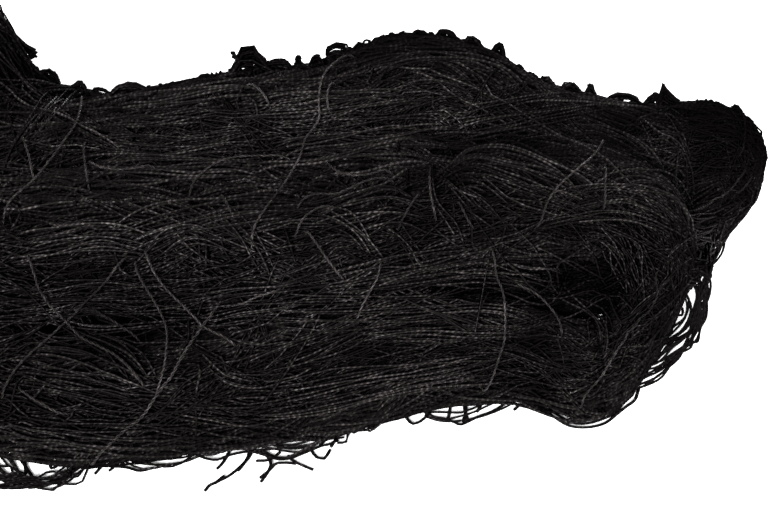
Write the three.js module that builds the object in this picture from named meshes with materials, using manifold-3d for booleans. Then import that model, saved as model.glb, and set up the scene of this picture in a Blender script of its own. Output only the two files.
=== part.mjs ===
// A black twine bird net, gathered into a band along its length and folded back and forth into a bundle
// that lies on a flat surface. X runs along the bundle, Y runs away from its front, and Z is up.
import * as THREE from "three";
import { mergeVertices } from "three/addons/utils/BufferGeometryUtils.js";
import Module from "manifold-3d";

const wasm = await Module();
wasm.setup();

// Driving dimensions, in millimetres and radians
const TWINE_RADIUS = 0.75; // corner radius of a three-sided strand, for twine of 1.1 mm
const STRAND_STEP = 6.5; // between the sections of a loose strand
const RIDGES = 10; // bunches of strands that stand out around the gathered band
const RIDGE_HEIGHT = { least: 0.65, most: 1.7 }; // from the middle of the surface to a ridge or a furrow
const RIDGE_RUN = 70; // length over which one ridge keeps its height
const TWIST = 0.007; // turn of the ridges for each millimetre of band
const LUMP_HEIGHT = 1.4; // of the longer swellings of the band
const LUMPS = [{ length: 19, waves: 2 }, { length: 11, waves: -3 }]; // along the band, and around it
const FULL_SIZE = 16; // half size of the band from which its ridges and lumps have their full height
const BAND_STEP = 11; // between the sections of the band where it runs straight
const BEND_STEP = 0.36; // largest turn between two sections where it folds back
const NOSE = 5; // how far each stretch of the band reaches into the next
const TRIM = { x: 400, y: 300, z: 40 }; // block that trims the underside flat
const CENTRE = { x: 3.79, y: 5.45 }; // middle of the folded band before it is set on its origin
const CLEAR = 1.2; // height of a draped strand's middle over what it rests on
const SUNK = 4.5; // how far a draped strand's ends go down into the bundle
const INSIDE = 7; // how far the ends of a loop along the front go into the bundle
const FOOT = 0.75; // half width of the front pass where it meets the surface, as a share of its own

const UP = new THREE.Vector3(0, 0, 1);
const ACROSS = new THREE.Vector3(0, 1, 0);

// The band's route. Each row is one section: its middle, its half width and its half height.
const section = (x, y, z, wide, tall) => ({ x, y, z, wide, tall });

// The free end stands up behind the left of the bundle, and the band then runs along the bottom at the back.
const BACK_PASS = [
  section(-130, 48, 51, 9, 8),
  section(-114, 51, 53, 18, 16),
  section(-92, 53, 53, 20, 18),
  section(-81, 53, 52, 20, 18),
  section(-67.5, 47, 38, 17.5, 16),
  section(-44, 42, 28, 20, 17.5),
  section(-20, 36, 19, 22, 19),
  section(22, 34, 17, 23, 19),
  section(70, 34, 17, 24, 19),
  section(108, 36, 15, 24, 14),
];
// At the right it folds up and over itself,
const BACK_TURN = [
  section(124, 38, 14, 22, 9.5),
  section(138, 38, 19, 20, 9),
  section(146, 38, 28, 20, 9),
  section(141, 38, 36, 20, 9.5),
];
// comes back along the top,
const TOP_PASS = [
  section(127, 38, 34.5, 21, 11),
  section(106, 36, 33, 23, 15),
  section(84, 37, 39, 23, 18),
  section(60, 40, 47, 25, 20),
  section(34, 35, 45, 24, 19),
  section(4, 30, 43, 24, 18),
  section(-26, 25, 40, 23, 17),
  section(-56, 21, 39, 22, 17),
  section(-86, 22, 41, 21, 16),
];
// folds forwards at the left,
const TOP_TURN = [
  section(-112, 26, 41.5, 17, 15),
  section(-126, 19, 41, 16, 15),
  section(-132, 6, 40, 15.5, 15),
  section(-126, -7, 39, 16, 15),
];
// runs to the right over the middle,
const MIDDLE_PASS = [
  section(-111, -12, 38, 18, 15),
  section(-80, -12, 37, 22, 16),
  section(-20, -10, 37, 23, 16),
  section(20, -7, 39, 22, 16),
  section(50, -3, 41, 21, 16),
  section(78, 1, 43, 20, 15),
  section(99, 2, 42, 17, 13),
];
// folds forwards and down round an open eye,
const FRONT_TURN = [
  section(111, 0, 39.5, 12, 12),
  section(117.5, -7, 32, 8.5, 14),
  section(117, -15, 22.5, 8.5, 14),
  section(110.5, -23, 15, 9, 13),
];
// comes back along the front,
const FRONT_PASS = [
  section(100, -29, 12, 12, 12.5),
  section(84, -26, 12.5, 14, 13.5),
  section(60, -25, 13.5, 15, 15),
  section(30, -31, 14.5, 17, 16),
  section(0, -39, 15, 19, 17),
  section(-32, -42, 15, 20, 17),
  section(-58, -38, 15, 18, 16.5),
  section(-90, -39, 15, 19, 17),
];
// folds under at the left,
const LOW_TURN = [
  section(-112, -39, 15, 17, 17),
  section(-125, -33.5, 15, 16, 16.5),
  section(-131, -22, 15, 15.5, 16.5),
  section(-125, -10.5, 15, 16, 16.5),
];
// and ends between the others at the bottom.
const INNER_PASS = [
  section(-111, -5, 14.5, 18, 16),
  section(-60, -4, 14.5, 20, 16.5),
  section(0, -2, 15, 20, 16.5),
  section(60, 2, 16, 19, 16.5),
  section(98, 5, 15.5, 16, 15),
  section(120, 6, 15, 9, 9),
];
const ROUTE = [
  BACK_PASS, BACK_TURN, TOP_PASS, TOP_TURN, MIDDLE_PASS, FRONT_TURN, FRONT_PASS, LOW_TURN, INNER_PASS,
];

// Loose strands that lie over the top of the bundle, from one side of it to another
const topStrand = (fromX, fromY, toX, toY) => ({ fromX, fromY, toX, toY });
const TOP_STRANDS = [
  topStrand(-63, -56, -28, -14),
  topStrand(-58, -10, -20, -50),
  topStrand(-24, -12, 6, -40),
  topStrand(-4, -28, -42, -60),
  topStrand(36, 48, 4, -12),
  topStrand(-42, 36, -66, -2),
  topStrand(4, -18, 40, 14),
  topStrand(100, 12, 80, -10),
  topStrand(112, -8, 88, -40),
  topStrand(74, -10, 68, -40),
  topStrand(142, 44, 118, 18),
  topStrand(-84, 30, -112, -16),
];

// Loose strands that bow out on the surface along the front: where, how long, how far out, and how high
// their ends go back into the bundle
const frontLoop = (x, span, reach, height) => ({ x, span, reach, height });
const FRONT_LOOPS = [
  frontLoop(-100, 40, 3.5, 8),
  frontLoop(-60, 56, 8, 9),
  frontLoop(-56, 46, 6, 7),
  frontLoop(-52, 36, 4, 6),
  frontLoop(2, 30, 2, 6),
  frontLoop(18, 32, 3, 7),
  frontLoop(44, 24, 2.5, 6),
  frontLoop(60, 26, 3.5, 7),
  frontLoop(91, 26, 2.2, 8),
  frontLoop(96, 26, 3.5, 6),
];
// The shape of half such a loop: shares of its span, its reach and its height
const HALF_LOOP = [
  { along: 0.4, out: 0.3, up: 0.45 },
  { along: 0.24, out: 0.85, up: 0 },
];

// Loose strands that swing wide round the fold at the front right: how far off the band's middle line they
// lie along the fold's axis, and how far outside the band they bow
const endLoop = (aside, bow) => ({ aside, bow });
const END_LOOPS = [endLoop(-6, 0.3), endLoop(-3, 1.4), endLoop(0, 0.5), endLoop(4, 3), endLoop(8, 2)];
const END_LOOP_STEPS = 9; // points along each of them
const END_LOOP_START = 0.7; // how far before and after the fold they begin and end, in rows of the route

// A repeatable unevenness between 0 and 1
function uneven(a, b) {
  const wave = Math.sin(a * 127.1 + b * 311.7) * 43758.5453;
  return wave - Math.floor(wave);
}

const rows = ROUTE.flat();
const lastRow = rows.length - 1;
const route = new THREE.CatmullRomCurve3(
  rows.map(({ x, y, z }) => new THREE.Vector3(x - CENTRE.x, y - CENTRE.y, z)),
  false,
  "centripetal",
);
const sizes = new THREE.CatmullRomCurve3(
  rows.map(({ wide, tall }) => new THREE.Vector3(wide, tall, 0)),
  false,
  "catmullrom",
  0.3,
);

// The row of the route at which each of its stretches begins
const startRow = new Map(ROUTE.map((stretch, i) => [stretch, ROUTE.slice(0, i).flat().length]));

// Places along the route, counted in rows: closer together where the band turns than where it runs straight
function sectionPlaces() {
  const gaps = rows.slice(1).map((_, row) => {
    const [from, to] = [row / lastRow, (row + 1) / lastRow];
    const length = route.getPoint(from).distanceTo(route.getPoint(to));
    const bend = route.getTangent(from).angleTo(route.getTangent(to));
    const count = Math.ceil(Math.max(length / BAND_STEP, bend / BEND_STEP));
    return Array.from({ length: count }, (_, i) => row + i / count);
  });
  return [...gaps.flat(), lastRow];
}

// The middle, the direction and the two axes of the band's oval section at a place along the route
function frameAt(place) {
  const t = place / lastRow;
  const along = route.getTangent(t);
  const level = new THREE.Vector3().crossVectors(UP, along);
  const upright = level.length() < 0.05;
  const flat = upright ? ACROSS.clone() : level.normalize();
  const rise = new THREE.Vector3().crossVectors(along, flat).normalize();
  const { x: wide, y: tall } = sizes.getPoint(t);
  return { middle: route.getPoint(t), along, flat, rise, wide, tall };
}

// Carries a direction along the route without letting it roll, so that ridges run on through the folds
function carriedFrames(places) {
  let axis = null;
  return places.map((place) => {
    const frame = frameAt(place);
    const start = axis ?? frame.flat;
    axis = start.clone().addScaledVector(frame.along, -start.dot(frame.along)).normalize();
    return { ...frame, axis, side: new THREE.Vector3().crossVectors(frame.along, axis) };
  });
}

// The points of one section, pushed out on the ridges and in between them
function ringPoints(frame, travelled) {
  const count = 2 * RIDGES;
  const share = Math.min(1, Math.min(frame.wide, frame.tall) / FULL_SIZE);
  return Array.from({ length: count }, (_, k) => {
    const angle = (2 * Math.PI * k) / count + TWIST * travelled;
    const way = new THREE.Vector3()
      .addScaledVector(frame.axis, Math.cos(angle))
      .addScaledVector(frame.side, Math.sin(angle));
    const oval = 1 / Math.hypot(way.dot(frame.flat) / frame.wide, way.dot(frame.rise) / frame.tall);
    const chance = uneven(k, Math.floor(travelled / RIDGE_RUN));
    const ridge = THREE.MathUtils.lerp(RIDGE_HEIGHT.least, RIDGE_HEIGHT.most, chance) * (k % 2 ? -1 : 1);
    const swells = LUMPS.map(({ length, waves }) => Math.sin(travelled / length + waves * angle));
    const lump = (LUMP_HEIGHT * (swells[0] + swells[1])) / LUMPS.length;
    return frame.middle.clone().addScaledVector(way, oval + share * (ridge + lump));
  });
}

// Closes a run of rings into one body, with a blunt point on each end
function closedSweep(rings, startNose, endNose) {
  const count = rings[0].length;
  const points = [...rings.flat(), startNose, endNose];
  const [startFan, endFan] = [points.length - 2, points.length - 1];
  const lastRing = (rings.length - 1) * count;
  const index = [];
  for (let k = 0; k < count; k += 1) {
    const next = (k + 1) % count;
    for (let ring = 0; ring < lastRing; ring += count) {
      const [a, b] = [ring + k, ring + next];
      index.push(a, b, b + count, a, b + count, a + count);
    }
    index.push(startFan, next, k, endFan, lastRing + k, lastRing + next);
  }
  return new THREE.BufferGeometry().setFromPoints(points).setIndex(index);
}

// A closed three.js geometry as a solid that can be joined and cut
function solidOf(geometry) {
  const bare = geometry.clone();
  bare.deleteAttribute("normal");
  bare.deleteAttribute("uv");
  const merged = mergeVertices(bare, 1e-4);
  return new wasm.Manifold(
    new wasm.Mesh({
      numProp: 3,
      vertProperties: new Float32Array(merged.attributes.position.array),
      triVerts: new Uint32Array(merged.index.array),
    }),
  );
}

function geometryOf(solid) {
  const { vertProperties, triVerts } = solid.getMesh();
  const geometry = new THREE.BufferGeometry();
  geometry.setAttribute("position", new THREE.BufferAttribute(vertProperties, 3));
  geometry.setIndex(new THREE.BufferAttribute(triVerts, 1));
  geometry.computeVertexNormals();
  return geometry;
}

// The folded band: each stretch is closed by itself, reaches a little into the next one, and they are joined
// and trimmed flat underneath
function foldedBand() {
  const places = sectionPlaces();
  const frames = carriedFrames(places);
  let travelled = 0;
  const rings = frames.map((frame, i) => {
    travelled += i ? frame.middle.distanceTo(frames[i - 1].middle) : 0;
    return ringPoints(frame, travelled);
  });
  const ends = [...[...startRow.values()].map((row) => places.indexOf(row)), places.length - 1];
  const stretches = ends.slice(1).map((end, i) => {
    const [first, last] = [frames[ends[i]], frames[end]];
    const startNose = first.middle.clone().addScaledVector(first.along, -NOSE);
    const endNose = last.middle.clone().addScaledVector(last.along, NOSE);
    return solidOf(closedSweep(rings.slice(ends[i], end + 1), startNose, endNose));
  });
  const joined = stretches.reduce((all, stretch) => all.add(stretch));
  const block = new THREE.BoxGeometry(TRIM.x, TRIM.y, TRIM.z).translate(0, 0, -TRIM.z / 2);
  return joined.subtract(solidOf(block));
}

// One strand of twine along a curve through the given points, no lower than the surface it lies on
function strand(points) {
  const curve = new THREE.CatmullRomCurve3(points, false, "centripetal");
  const steps = Math.ceil(curve.getLength() / STRAND_STEP);
  const spots = curve.getSpacedPoints(steps).map((spot) => spot.setZ(Math.max(spot.z, TWINE_RADIUS)));
  const extrudePath = new THREE.CatmullRomCurve3(spots, false, "centripetal");
  const corners = [0, 1, 2].map((k) => {
    const angle = (2 * Math.PI * k) / 3;
    return new THREE.Vector2(TWINE_RADIUS * Math.cos(angle), TWINE_RADIUS * Math.sin(angle));
  });
  return new THREE.ExtrudeGeometry(new THREE.Shape(corners), { steps, bevelEnabled: false, extrudePath });
}

// The height of the bundle's top under a point, or 0 beside it
function heightAt(bundle, x, y) {
  const ray = new THREE.Raycaster(new THREE.Vector3(x, y, TRIM.x), UP.clone().negate());
  const [hit] = ray.intersectObject(bundle);
  return hit ? hit.point.z : 0;
}

// A strand drawn over the bundle rests on its highest places, and its ends go down between other strands
function drapedStrand(bundle, { fromX, fromY, toX, toY }) {
  const from = new THREE.Vector2(fromX - CENTRE.x, fromY - CENTRE.y);
  const to = new THREE.Vector2(toX - CENTRE.x, toY - CENTRE.y);
  const count = Math.ceil(from.distanceTo(to) / STRAND_STEP);
  const spots = Array.from({ length: count + 1 }, (_, i) => {
    const { x, y } = from.clone().lerp(to, i / count);
    return new THREE.Vector3(x, y, heightAt(bundle, x, y) + CLEAR);
  });
  const taut = [spots[0]];
  let at = 0;
  while (at < count) {
    const slopes = spots.slice(at + 1).map((spot, i) => (spot.z - spots[at].z) / (i + 1));
    at += 1 + slopes.indexOf(Math.max(...slopes));
    taut.push(spots[at]);
  }
  const step = to.clone().sub(from).normalize().multiplyScalar(2 * TWINE_RADIUS);
  const past = new THREE.Vector3(step.x, step.y, 0);
  const sunk = new THREE.Vector3(0, 0, SUNK);
  return strand([spots[0].clone().sub(past).sub(sunk), ...taut, spots[count].clone().add(past).sub(sunk)]);
}

// The front edge of the front pass's flat foot at a place along X
function frontFoot(x) {
  const within = THREE.MathUtils.clamp(x, FRONT_PASS.at(-1).x, FRONT_PASS[0].x);
  const after = Math.max(FRONT_PASS.findIndex((row) => row.x <= within), 1);
  const [a, b] = [FRONT_PASS[after - 1], FRONT_PASS[after]];
  return THREE.MathUtils.mapLinear(within, a.x, b.x, a.y - FOOT * a.wide, b.y - FOOT * b.wide);
}

// A strand that leaves the front of the bundle, bows out on the surface and goes back in
function loopOnSurface({ x, span, reach, height }) {
  const spot = (along, out, z) => {
    const at = x + along * span;
    return new THREE.Vector3(at - CENTRE.x, frontFoot(at) - out - CENTRE.y, Math.max(z, TWINE_RADIUS));
  };
  const half = (side) => [
    spot(0.5 * side, -INSIDE, height),
    ...HALF_LOOP.map(({ along, out, up }) => spot(along * side, out * reach, up * height)),
  ];
  return strand([...half(-1), spot(0, reach, 0), ...half(1).reverse()]);
}

// A strand that swings round outside the fold at the front right
function loopRoundFold({ aside, bow }) {
  const first = startRow.get(FRONT_TURN) - END_LOOP_START;
  const last = startRow.get(FRONT_PASS) + END_LOOP_START;
  const points = Array.from({ length: END_LOOP_STEPS + 1 }, (_, i) => {
    const share = i / END_LOOP_STEPS;
    const { middle, along, rise, wide } = frameAt(THREE.MathUtils.lerp(first, last, share));
    const across = rise.clone().multiplyScalar(Math.sign(rise.z));
    const sideways = new THREE.Vector3().crossVectors(across, along).normalize();
    const outward = sideways.multiplyScalar(Math.sign(sideways.x));
    const swing = Math.sin(Math.PI * share);
    const reach = wide * Math.min(1, 0.3 + 1.6 * swing) + (bow + LUMP_HEIGHT) * swing;
    return middle.clone().addScaledVector(outward, reach).addScaledVector(across, aside);
  });
  return strand(points);
}

const band = foldedBand();
const bundle = new THREE.Mesh(geometryOf(band));
const looseStrands = [
  ...TOP_STRANDS.map((row) => drapedStrand(bundle, row)),
  ...FRONT_LOOPS.map(loopOnSurface),
  ...END_LOOPS.map(loopRoundFold),
];
const joined = looseStrands.reduce((all, geometry) => all.add(solidOf(geometry)), band);
// Joining shuts a few small pockets in between the passes, so only the outer skin is kept
const net = joined.decompose().reduce((a, b) => (a.volume() > b.volume() ? a : b));

const blackTwine = new THREE.MeshStandardMaterial({ color: 0x171616, roughness: 0.55, metalness: 0 });
const netBundle = new THREE.Mesh(geometryOf(net), blackTwine);
netBundle.name = "net_bundle";

const birdNet = new THREE.Group();
birdNet.add(netBundle);

export default birdNet;
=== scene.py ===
# %% [markdown]
# # A folded bundle of bird net
# The real thing is one wide net of black twine. Somebody pulled it together into a long loose band and folded
# the band back and forth, so what shows is hundreds of strands that run side by side along the folds, with
# many loose ones lying across them.
#
# The imported solid has the folds and the main ridges. This lesson covers it with the strands themselves. The
# first cell loads the solid as a fixed frame.

# %% Load the imported solid
import math

import bpy
import numpy as np
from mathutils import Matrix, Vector
from mathutils.bvhtree import BVHTree


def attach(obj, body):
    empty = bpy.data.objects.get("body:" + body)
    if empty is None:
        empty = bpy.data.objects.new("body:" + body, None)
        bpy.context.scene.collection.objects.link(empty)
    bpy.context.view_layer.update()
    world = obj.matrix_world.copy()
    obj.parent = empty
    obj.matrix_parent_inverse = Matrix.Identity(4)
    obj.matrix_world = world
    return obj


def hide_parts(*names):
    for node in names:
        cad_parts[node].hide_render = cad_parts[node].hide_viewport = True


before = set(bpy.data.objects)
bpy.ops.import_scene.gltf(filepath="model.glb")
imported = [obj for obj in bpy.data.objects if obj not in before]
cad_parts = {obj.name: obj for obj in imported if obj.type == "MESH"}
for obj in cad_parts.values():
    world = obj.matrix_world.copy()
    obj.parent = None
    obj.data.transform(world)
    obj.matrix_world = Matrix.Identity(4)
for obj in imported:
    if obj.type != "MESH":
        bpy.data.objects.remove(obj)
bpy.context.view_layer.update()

MM = 0.001
NODE = "net_bundle"

# %% [markdown]
# ## The camera
# The photograph looks down at the bundle from the front. A camera could be turned by hand until the outline
# fits. Here its place is worked out from the angle above the floor and the distance, so the same numbers can
# later turn a spot in the photograph into a line of sight.

# %% Place the camera
PHOTO_WIDTH, PHOTO_HEIGHT = 768, 512
LENS, SENSOR = 60.0, 36.0
VIEW_ANGLE = math.radians(42)
VIEW_DISTANCE = 358 * MM
NEAREST_VIEW = 10 * MM
AIM = Vector((39.2, -5.5, 25)) * MM

towards = Vector((0, math.cos(VIEW_ANGLE), -math.sin(VIEW_ANGLE)))
upwards = Vector((0, math.sin(VIEW_ANGLE), math.cos(VIEW_ANGLE)))
eye = AIM - towards * VIEW_DISTANCE
eye_mm = np.array(eye) / MM
bpy.ops.object.camera_add(location=eye, rotation=(math.pi / 2 - VIEW_ANGLE, 0, 0))
camera = bpy.context.object
camera.data.lens = LENS
camera.data.sensor_width = SENSOR
camera.data.clip_start = NEAREST_VIEW
bpy.context.scene.camera = camera


def sight_line(x, y):
    """Direction from the camera through a spot in the photograph."""
    focal_pixels = LENS / SENSOR * PHOTO_WIDTH
    right = Vector((1, 0, 0)) * ((x - PHOTO_WIDTH / 2) / focal_pixels)
    up = upwards * ((PHOTO_HEIGHT / 2 - y) / focal_pixels)
    return (towards + right + up).normalized()


print("camera at", [round(v, 3) for v in eye])

# %% [markdown]
# ## The route of the band
# The band starts with a free end behind the left of the bundle, and then runs back and forth: along the
# bottom at the back, over the top, over the middle, along the front, and between the others at the bottom.
# Each row below is one section: its middle, its half width and its half height, in millimetres. They repeat
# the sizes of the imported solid, so that the strands lie where its surface is.

# %% Sections of the band
CENTRE = np.array([3.79, 5.45, 0])
BACK_PASS = [
    (-130, 48, 51, 9, 8), (-114, 51, 53, 18, 16), (-92, 53, 53, 20, 18), (-81, 53, 52, 20, 18),
    (-67.5, 47, 38, 17.5, 16), (-44, 42, 28, 20, 17.5), (-20, 36, 19, 22, 19), (22, 34, 17, 23, 19),
    (70, 34, 17, 24, 19), (108, 36, 15, 24, 14),
]
BACK_TURN = [(124, 38, 14, 22, 9.5), (138, 38, 19, 20, 9), (146, 38, 28, 20, 9), (141, 38, 36, 20, 9.5)]
TOP_PASS = [
    (127, 38, 34.5, 21, 11), (106, 36, 33, 23, 15), (84, 37, 39, 23, 18), (60, 40, 47, 25, 20),
    (34, 35, 45, 24, 19), (4, 30, 43, 24, 18), (-26, 25, 40, 23, 17), (-56, 21, 39, 22, 17),
    (-86, 22, 41, 21, 16),
]
TOP_TURN = [(-112, 26, 41.5, 17, 15), (-126, 19, 41, 16, 15), (-132, 6, 40, 15.5, 15), (-126, -7, 39, 16, 15)]
MIDDLE_PASS = [
    (-111, -12, 38, 18, 15), (-80, -12, 37, 22, 16), (-20, -10, 37, 23, 16), (20, -7, 39, 22, 16),
    (50, -3, 41, 21, 16), (78, 1, 43, 20, 15), (99, 2, 42, 17, 13),
]
FRONT_TURN = [
    (111, 0, 39.5, 12, 12), (117.5, -7, 32, 8.5, 14), (117, -15, 22.5, 8.5, 14), (110.5, -23, 15, 9, 13),
]
FRONT_PASS = [
    (100, -29, 12, 12, 12.5), (84, -26, 12.5, 14, 13.5), (60, -25, 13.5, 15, 15), (30, -31, 14.5, 17, 16),
    (0, -39, 15, 19, 17), (-32, -42, 15, 20, 17), (-58, -38, 15, 18, 16.5), (-90, -39, 15, 19, 17),
]
LOW_TURN = [
    (-112, -39, 15, 17, 17), (-125, -33.5, 15, 16, 16.5), (-131, -22, 15, 15.5, 16.5),
    (-125, -10.5, 15, 16, 16.5),
]
INNER_PASS = [
    (-111, -5, 14.5, 18, 16), (-60, -4, 14.5, 20, 16.5), (0, -2, 15, 20, 16.5), (60, 2, 16, 19, 16.5),
    (98, 5, 15.5, 16, 15), (120, 6, 15, 9, 9),
]
STRETCHES = {
    "back": BACK_PASS + BACK_TURN,
    "top": TOP_PASS + TOP_TURN,
    "middle": MIDDLE_PASS + FRONT_TURN,
    "front": FRONT_PASS + LOW_TURN,
    "inner": INNER_PASS,
}
sections = np.array([row for rows in STRETCHES.values() for row in rows], float)
middles, sizes = sections[:, :3] - CENTRE, sections[:, 3:]
last_row = len(sections) - 1
print(len(sections), "sections")

# %% [markdown]
# A smooth line through those sections gives the band's middle line. A curve object could draw it, but the
# strands need its points as numbers, so the same rounded spline that the solid was swept along is written out
# here: each gap between two sections is a cubic whose slopes come from the neighbours.

# %% A smooth line through points
PLAIN_TENSION = 0.3
TINY = 1e-12


def spline(points, places, tension=None):
    """Points on a rounded spline, at places that count the given points from 0. Without a tension the slopes
    go by distance, so sizes and directions, which may not change from point to point, need one."""
    ends = np.vstack([2 * points[0] - points[1], points, 2 * points[-1] - points[-2]])
    i = np.clip(np.floor(places).astype(int), 0, len(points) - 2)
    t = (places - i)[:, None]
    p0, p1, p2, p3 = (ends[i + k] for k in range(4))
    if tension is None:
        gaps = ((p0, p1), (p1, p2), (p2, p3))
        d0, d1, d2 = (np.linalg.norm(b - a, axis=1, keepdims=True) ** 0.5 for a, b in gaps)
        slope1 = ((p1 - p0) / d0 - (p2 - p0) / (d0 + d1) + (p2 - p1) / d1) * d1
        slope2 = ((p2 - p1) / d1 - (p3 - p1) / (d1 + d2) + (p3 - p2) / d2) * d1
    else:
        slope1, slope2 = tension * (p2 - p0), tension * (p3 - p1)
    bend = 3 * (p2 - p1) - 2 * slope1 - slope2
    curl = 2 * (p1 - p2) + slope1 + slope2
    return p1 + t * (slope1 + t * (bend + t * curl))


def unit(vectors):
    """The same directions, with a length of one."""
    return vectors / np.maximum(np.linalg.norm(vectors, axis=-1, keepdims=True), TINY)


def length_along(path):
    """The distance along a path from its start to each of its points."""
    return np.concatenate([[0], np.cumsum(np.linalg.norm(np.diff(path, axis=0), axis=1))])


print("band of", round(length_along(middles)[-1]), "mm from section to section")

# %% [markdown]
# A strand is drawn from station to station. Even steps would be too coarse in the folds or too many along the
# straights, so a step is used up by the length and by the turn of the band together, which puts the stations
# closer in the bends.

# %% Stations along the band
FINE_POINTS = 6000
STRAIGHT_STEP = 7.5
BEND_STEP = 0.27
fine_places = np.linspace(0, last_row, FINE_POINTS)
fine = spline(middles, fine_places)
fine_length = length_along(fine)
fine_ways = unit(np.diff(fine, axis=0))
turned = np.arccos(np.clip((fine_ways[1:] * fine_ways[:-1]).sum(1), -1, 1))
fine_turn = np.concatenate([[0, 0], np.cumsum(turned)])
pace = fine_length / STRAIGHT_STEP + fine_turn / BEND_STEP
station_count = int(pace[-1])
stations = np.interp(np.linspace(0, pace[-1], station_count), pace, fine_places)
travelled = np.interp(stations, fine_places, fine_length)
line = spline(middles, stations)
half_wide, half_tall = spline(sizes, stations, PLAIN_TENSION).T
print(station_count, "stations over", round(travelled[-1]), "mm of band")

# %% [markdown]
# At each station the section is an oval with a level axis and a rising axis. The strands need one more thing:
# a direction that is carried along the band without rolling, so that a strand at a fixed angle runs straight
# on through the folds instead of winding round the band there.

# %% Directions along the band
NEARLY_UPRIGHT = 0.05
along = unit(np.gradient(line, axis=0))
level = np.cross([0, 0, 1], along)
level[np.linalg.norm(level, axis=1) < NEARLY_UPRIGHT] = [0, 1, 0]
level = unit(level)
rising = unit(np.cross(along, level))
carried = [level[0]]
for direction in along[1:]:
    carried.append(unit(carried[-1] - direction * carried[-1].dot(direction)))
carried = np.array(carried)
beside = np.cross(along, carried)
print("the band rises most at station", int(np.abs(along[:, 2]).argmax()))

# %% [markdown]
# A gathered net isn't an even tube. Two slow waves make lumps all over the band, each with a length along it
# and a number of waves around it. Where the photograph shows a hollow or a swelling, a dent is added: its
# middle, its size and its depth in millimetres. A negative depth swells the band.

# %% The surface of the band
LUMP_HEIGHT = 1.4
LUMPS = ((19, 2), (11, -3))
FULL_SIZE = 16
DENTS = [
    ((19, 42.5, 58.5), 10, 4.5), ((61, 44, 63), 14, 2.0), ((88, 43, 50), 12, 3.6),
    ((136, 44.5, 42.5), 10, 3.0), ((-57, 47, 46), 7, 1.5), ((-65, 54, 52), 8, 4.0),
    ((-78, 56.5, 67), 6, -4.5), ((-69, 55.5, 58.5), 5, 2.5), ((149, 34, 37), 9, -2.5),
    ((116, 44, 43), 10, 2.5), ((138, 13, 14), 9, -2.2), ((36, -50, 6), 12, -2.5), ((122, -22, 14), 11, 2.7),
    ((111, -31, 8), 9, 2.2), ((130, 10, 14), 9, -4.5), ((91, -44, 5), 11, -3.6), ((74, -41, 6), 8, 2.0),
    ((124, 43, 45), 14, 1.6),
]


def on_band(angle, lift):
    """Points at an angle around the band and a height over its surface in mm, as strands by stations."""
    way = np.cos(angle)[..., None] * carried + np.sin(angle)[..., None] * beside
    oval = 1 / np.hypot((way * level).sum(-1) / half_wide, (way * rising).sum(-1) / half_tall)
    share = np.minimum(1, np.minimum(half_wide, half_tall) / FULL_SIZE)
    lump = sum(np.sin(travelled / length + number * angle) for length, number in LUMPS) / len(LUMPS)
    points = line + way * (oval + share * LUMP_HEIGHT * lump + lift)[..., None]
    for middle, size, drop in DENTS:
        points = points - way * (drop * np.exp(-(((points - middle) / size) ** 2).sum(-1)))[..., None]
    return points, way


print(len(DENTS), "dents and swellings")

# %% [markdown]
# ## From paths to twine
# Each strand is a thin tube. A curve object with a round bevel would make one, but a thousand curves are slow
# and heavy, so the tubes are worked out as arrays and joined into a few meshes. Every tube carries two maps.
# One says how far around and along the twine a spot is, for the twist of its plies. The other lays the tubes
# out in strips on a square, so that the finish can be stored as a picture later.

# %% Maps of the tubes
STRIP_HEIGHT = 4.0
STRIP_GAP = 2.0
STRIP_EDGE = 0.05


def strips(lengths):
    """Packs strips into rows. Gives each strip's row and its start there, and the rows' length and number."""
    width = max(max(lengths), math.sqrt(sum(lengths) * STRIP_HEIGHT)) + STRIP_GAP
    rows, spots = [], {}
    for strip in np.argsort(lengths)[::-1]:
        fits = (row for row, used in enumerate(rows) if used + lengths[strip] + STRIP_GAP <= width)
        row = next(fits, len(rows))
        if row == len(rows):
            rows.append(0.0)
        spots[strip] = (row, rows[row])
        rows[row] += lengths[strip] + STRIP_GAP
    row_of, start_of = np.array([spots[strip] for strip in range(len(lengths))]).T
    return row_of, start_of, width, len(rows)


def lay_maps(mesh, run, counts, last, sides):
    """Adds both maps to a mesh of tubes. Run is how far along its tube each point of the paths is."""
    body = np.delete(np.arange(len(run)), last)
    row, begin, width, row_count = strips(run[last])
    run = run + np.repeat(begin, counts)

    def corners(values):
        """A value at each point, spread to the corners of the quads."""
        four = np.stack([values[body], values[body], values[body + 1], values[body + 1]], -1)
        return four[:, None].repeat(sides, 1)

    side = np.arange(sides)
    around = np.broadcast_to(np.stack([side, side + 1, side + 1, side], -1) / sides, (len(body), sides, 4))
    rows = np.repeat(row, counts)[body][:, None, None]
    strip = (rows + STRIP_EDGE + (1 - 2 * STRIP_EDGE) * around) / row_count
    twine = np.stack([around, corners(run)], -1)
    picture = np.stack([corners(run / width), strip], -1)
    end_corners = np.zeros((2 * len(counts) * sides, 2))
    for map_name, values in (("twine", twine), ("OFBake", picture)):
        layer = mesh.uv_layers.new(name=map_name)
        flat = np.vstack([values.reshape(-1, 2), end_corners]).astype(np.float32)
        layer.data.foreach_set("uv", flat.ravel())


print("strips", STRIP_HEIGHT, "mm high,", STRIP_GAP, "mm apart")
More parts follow.
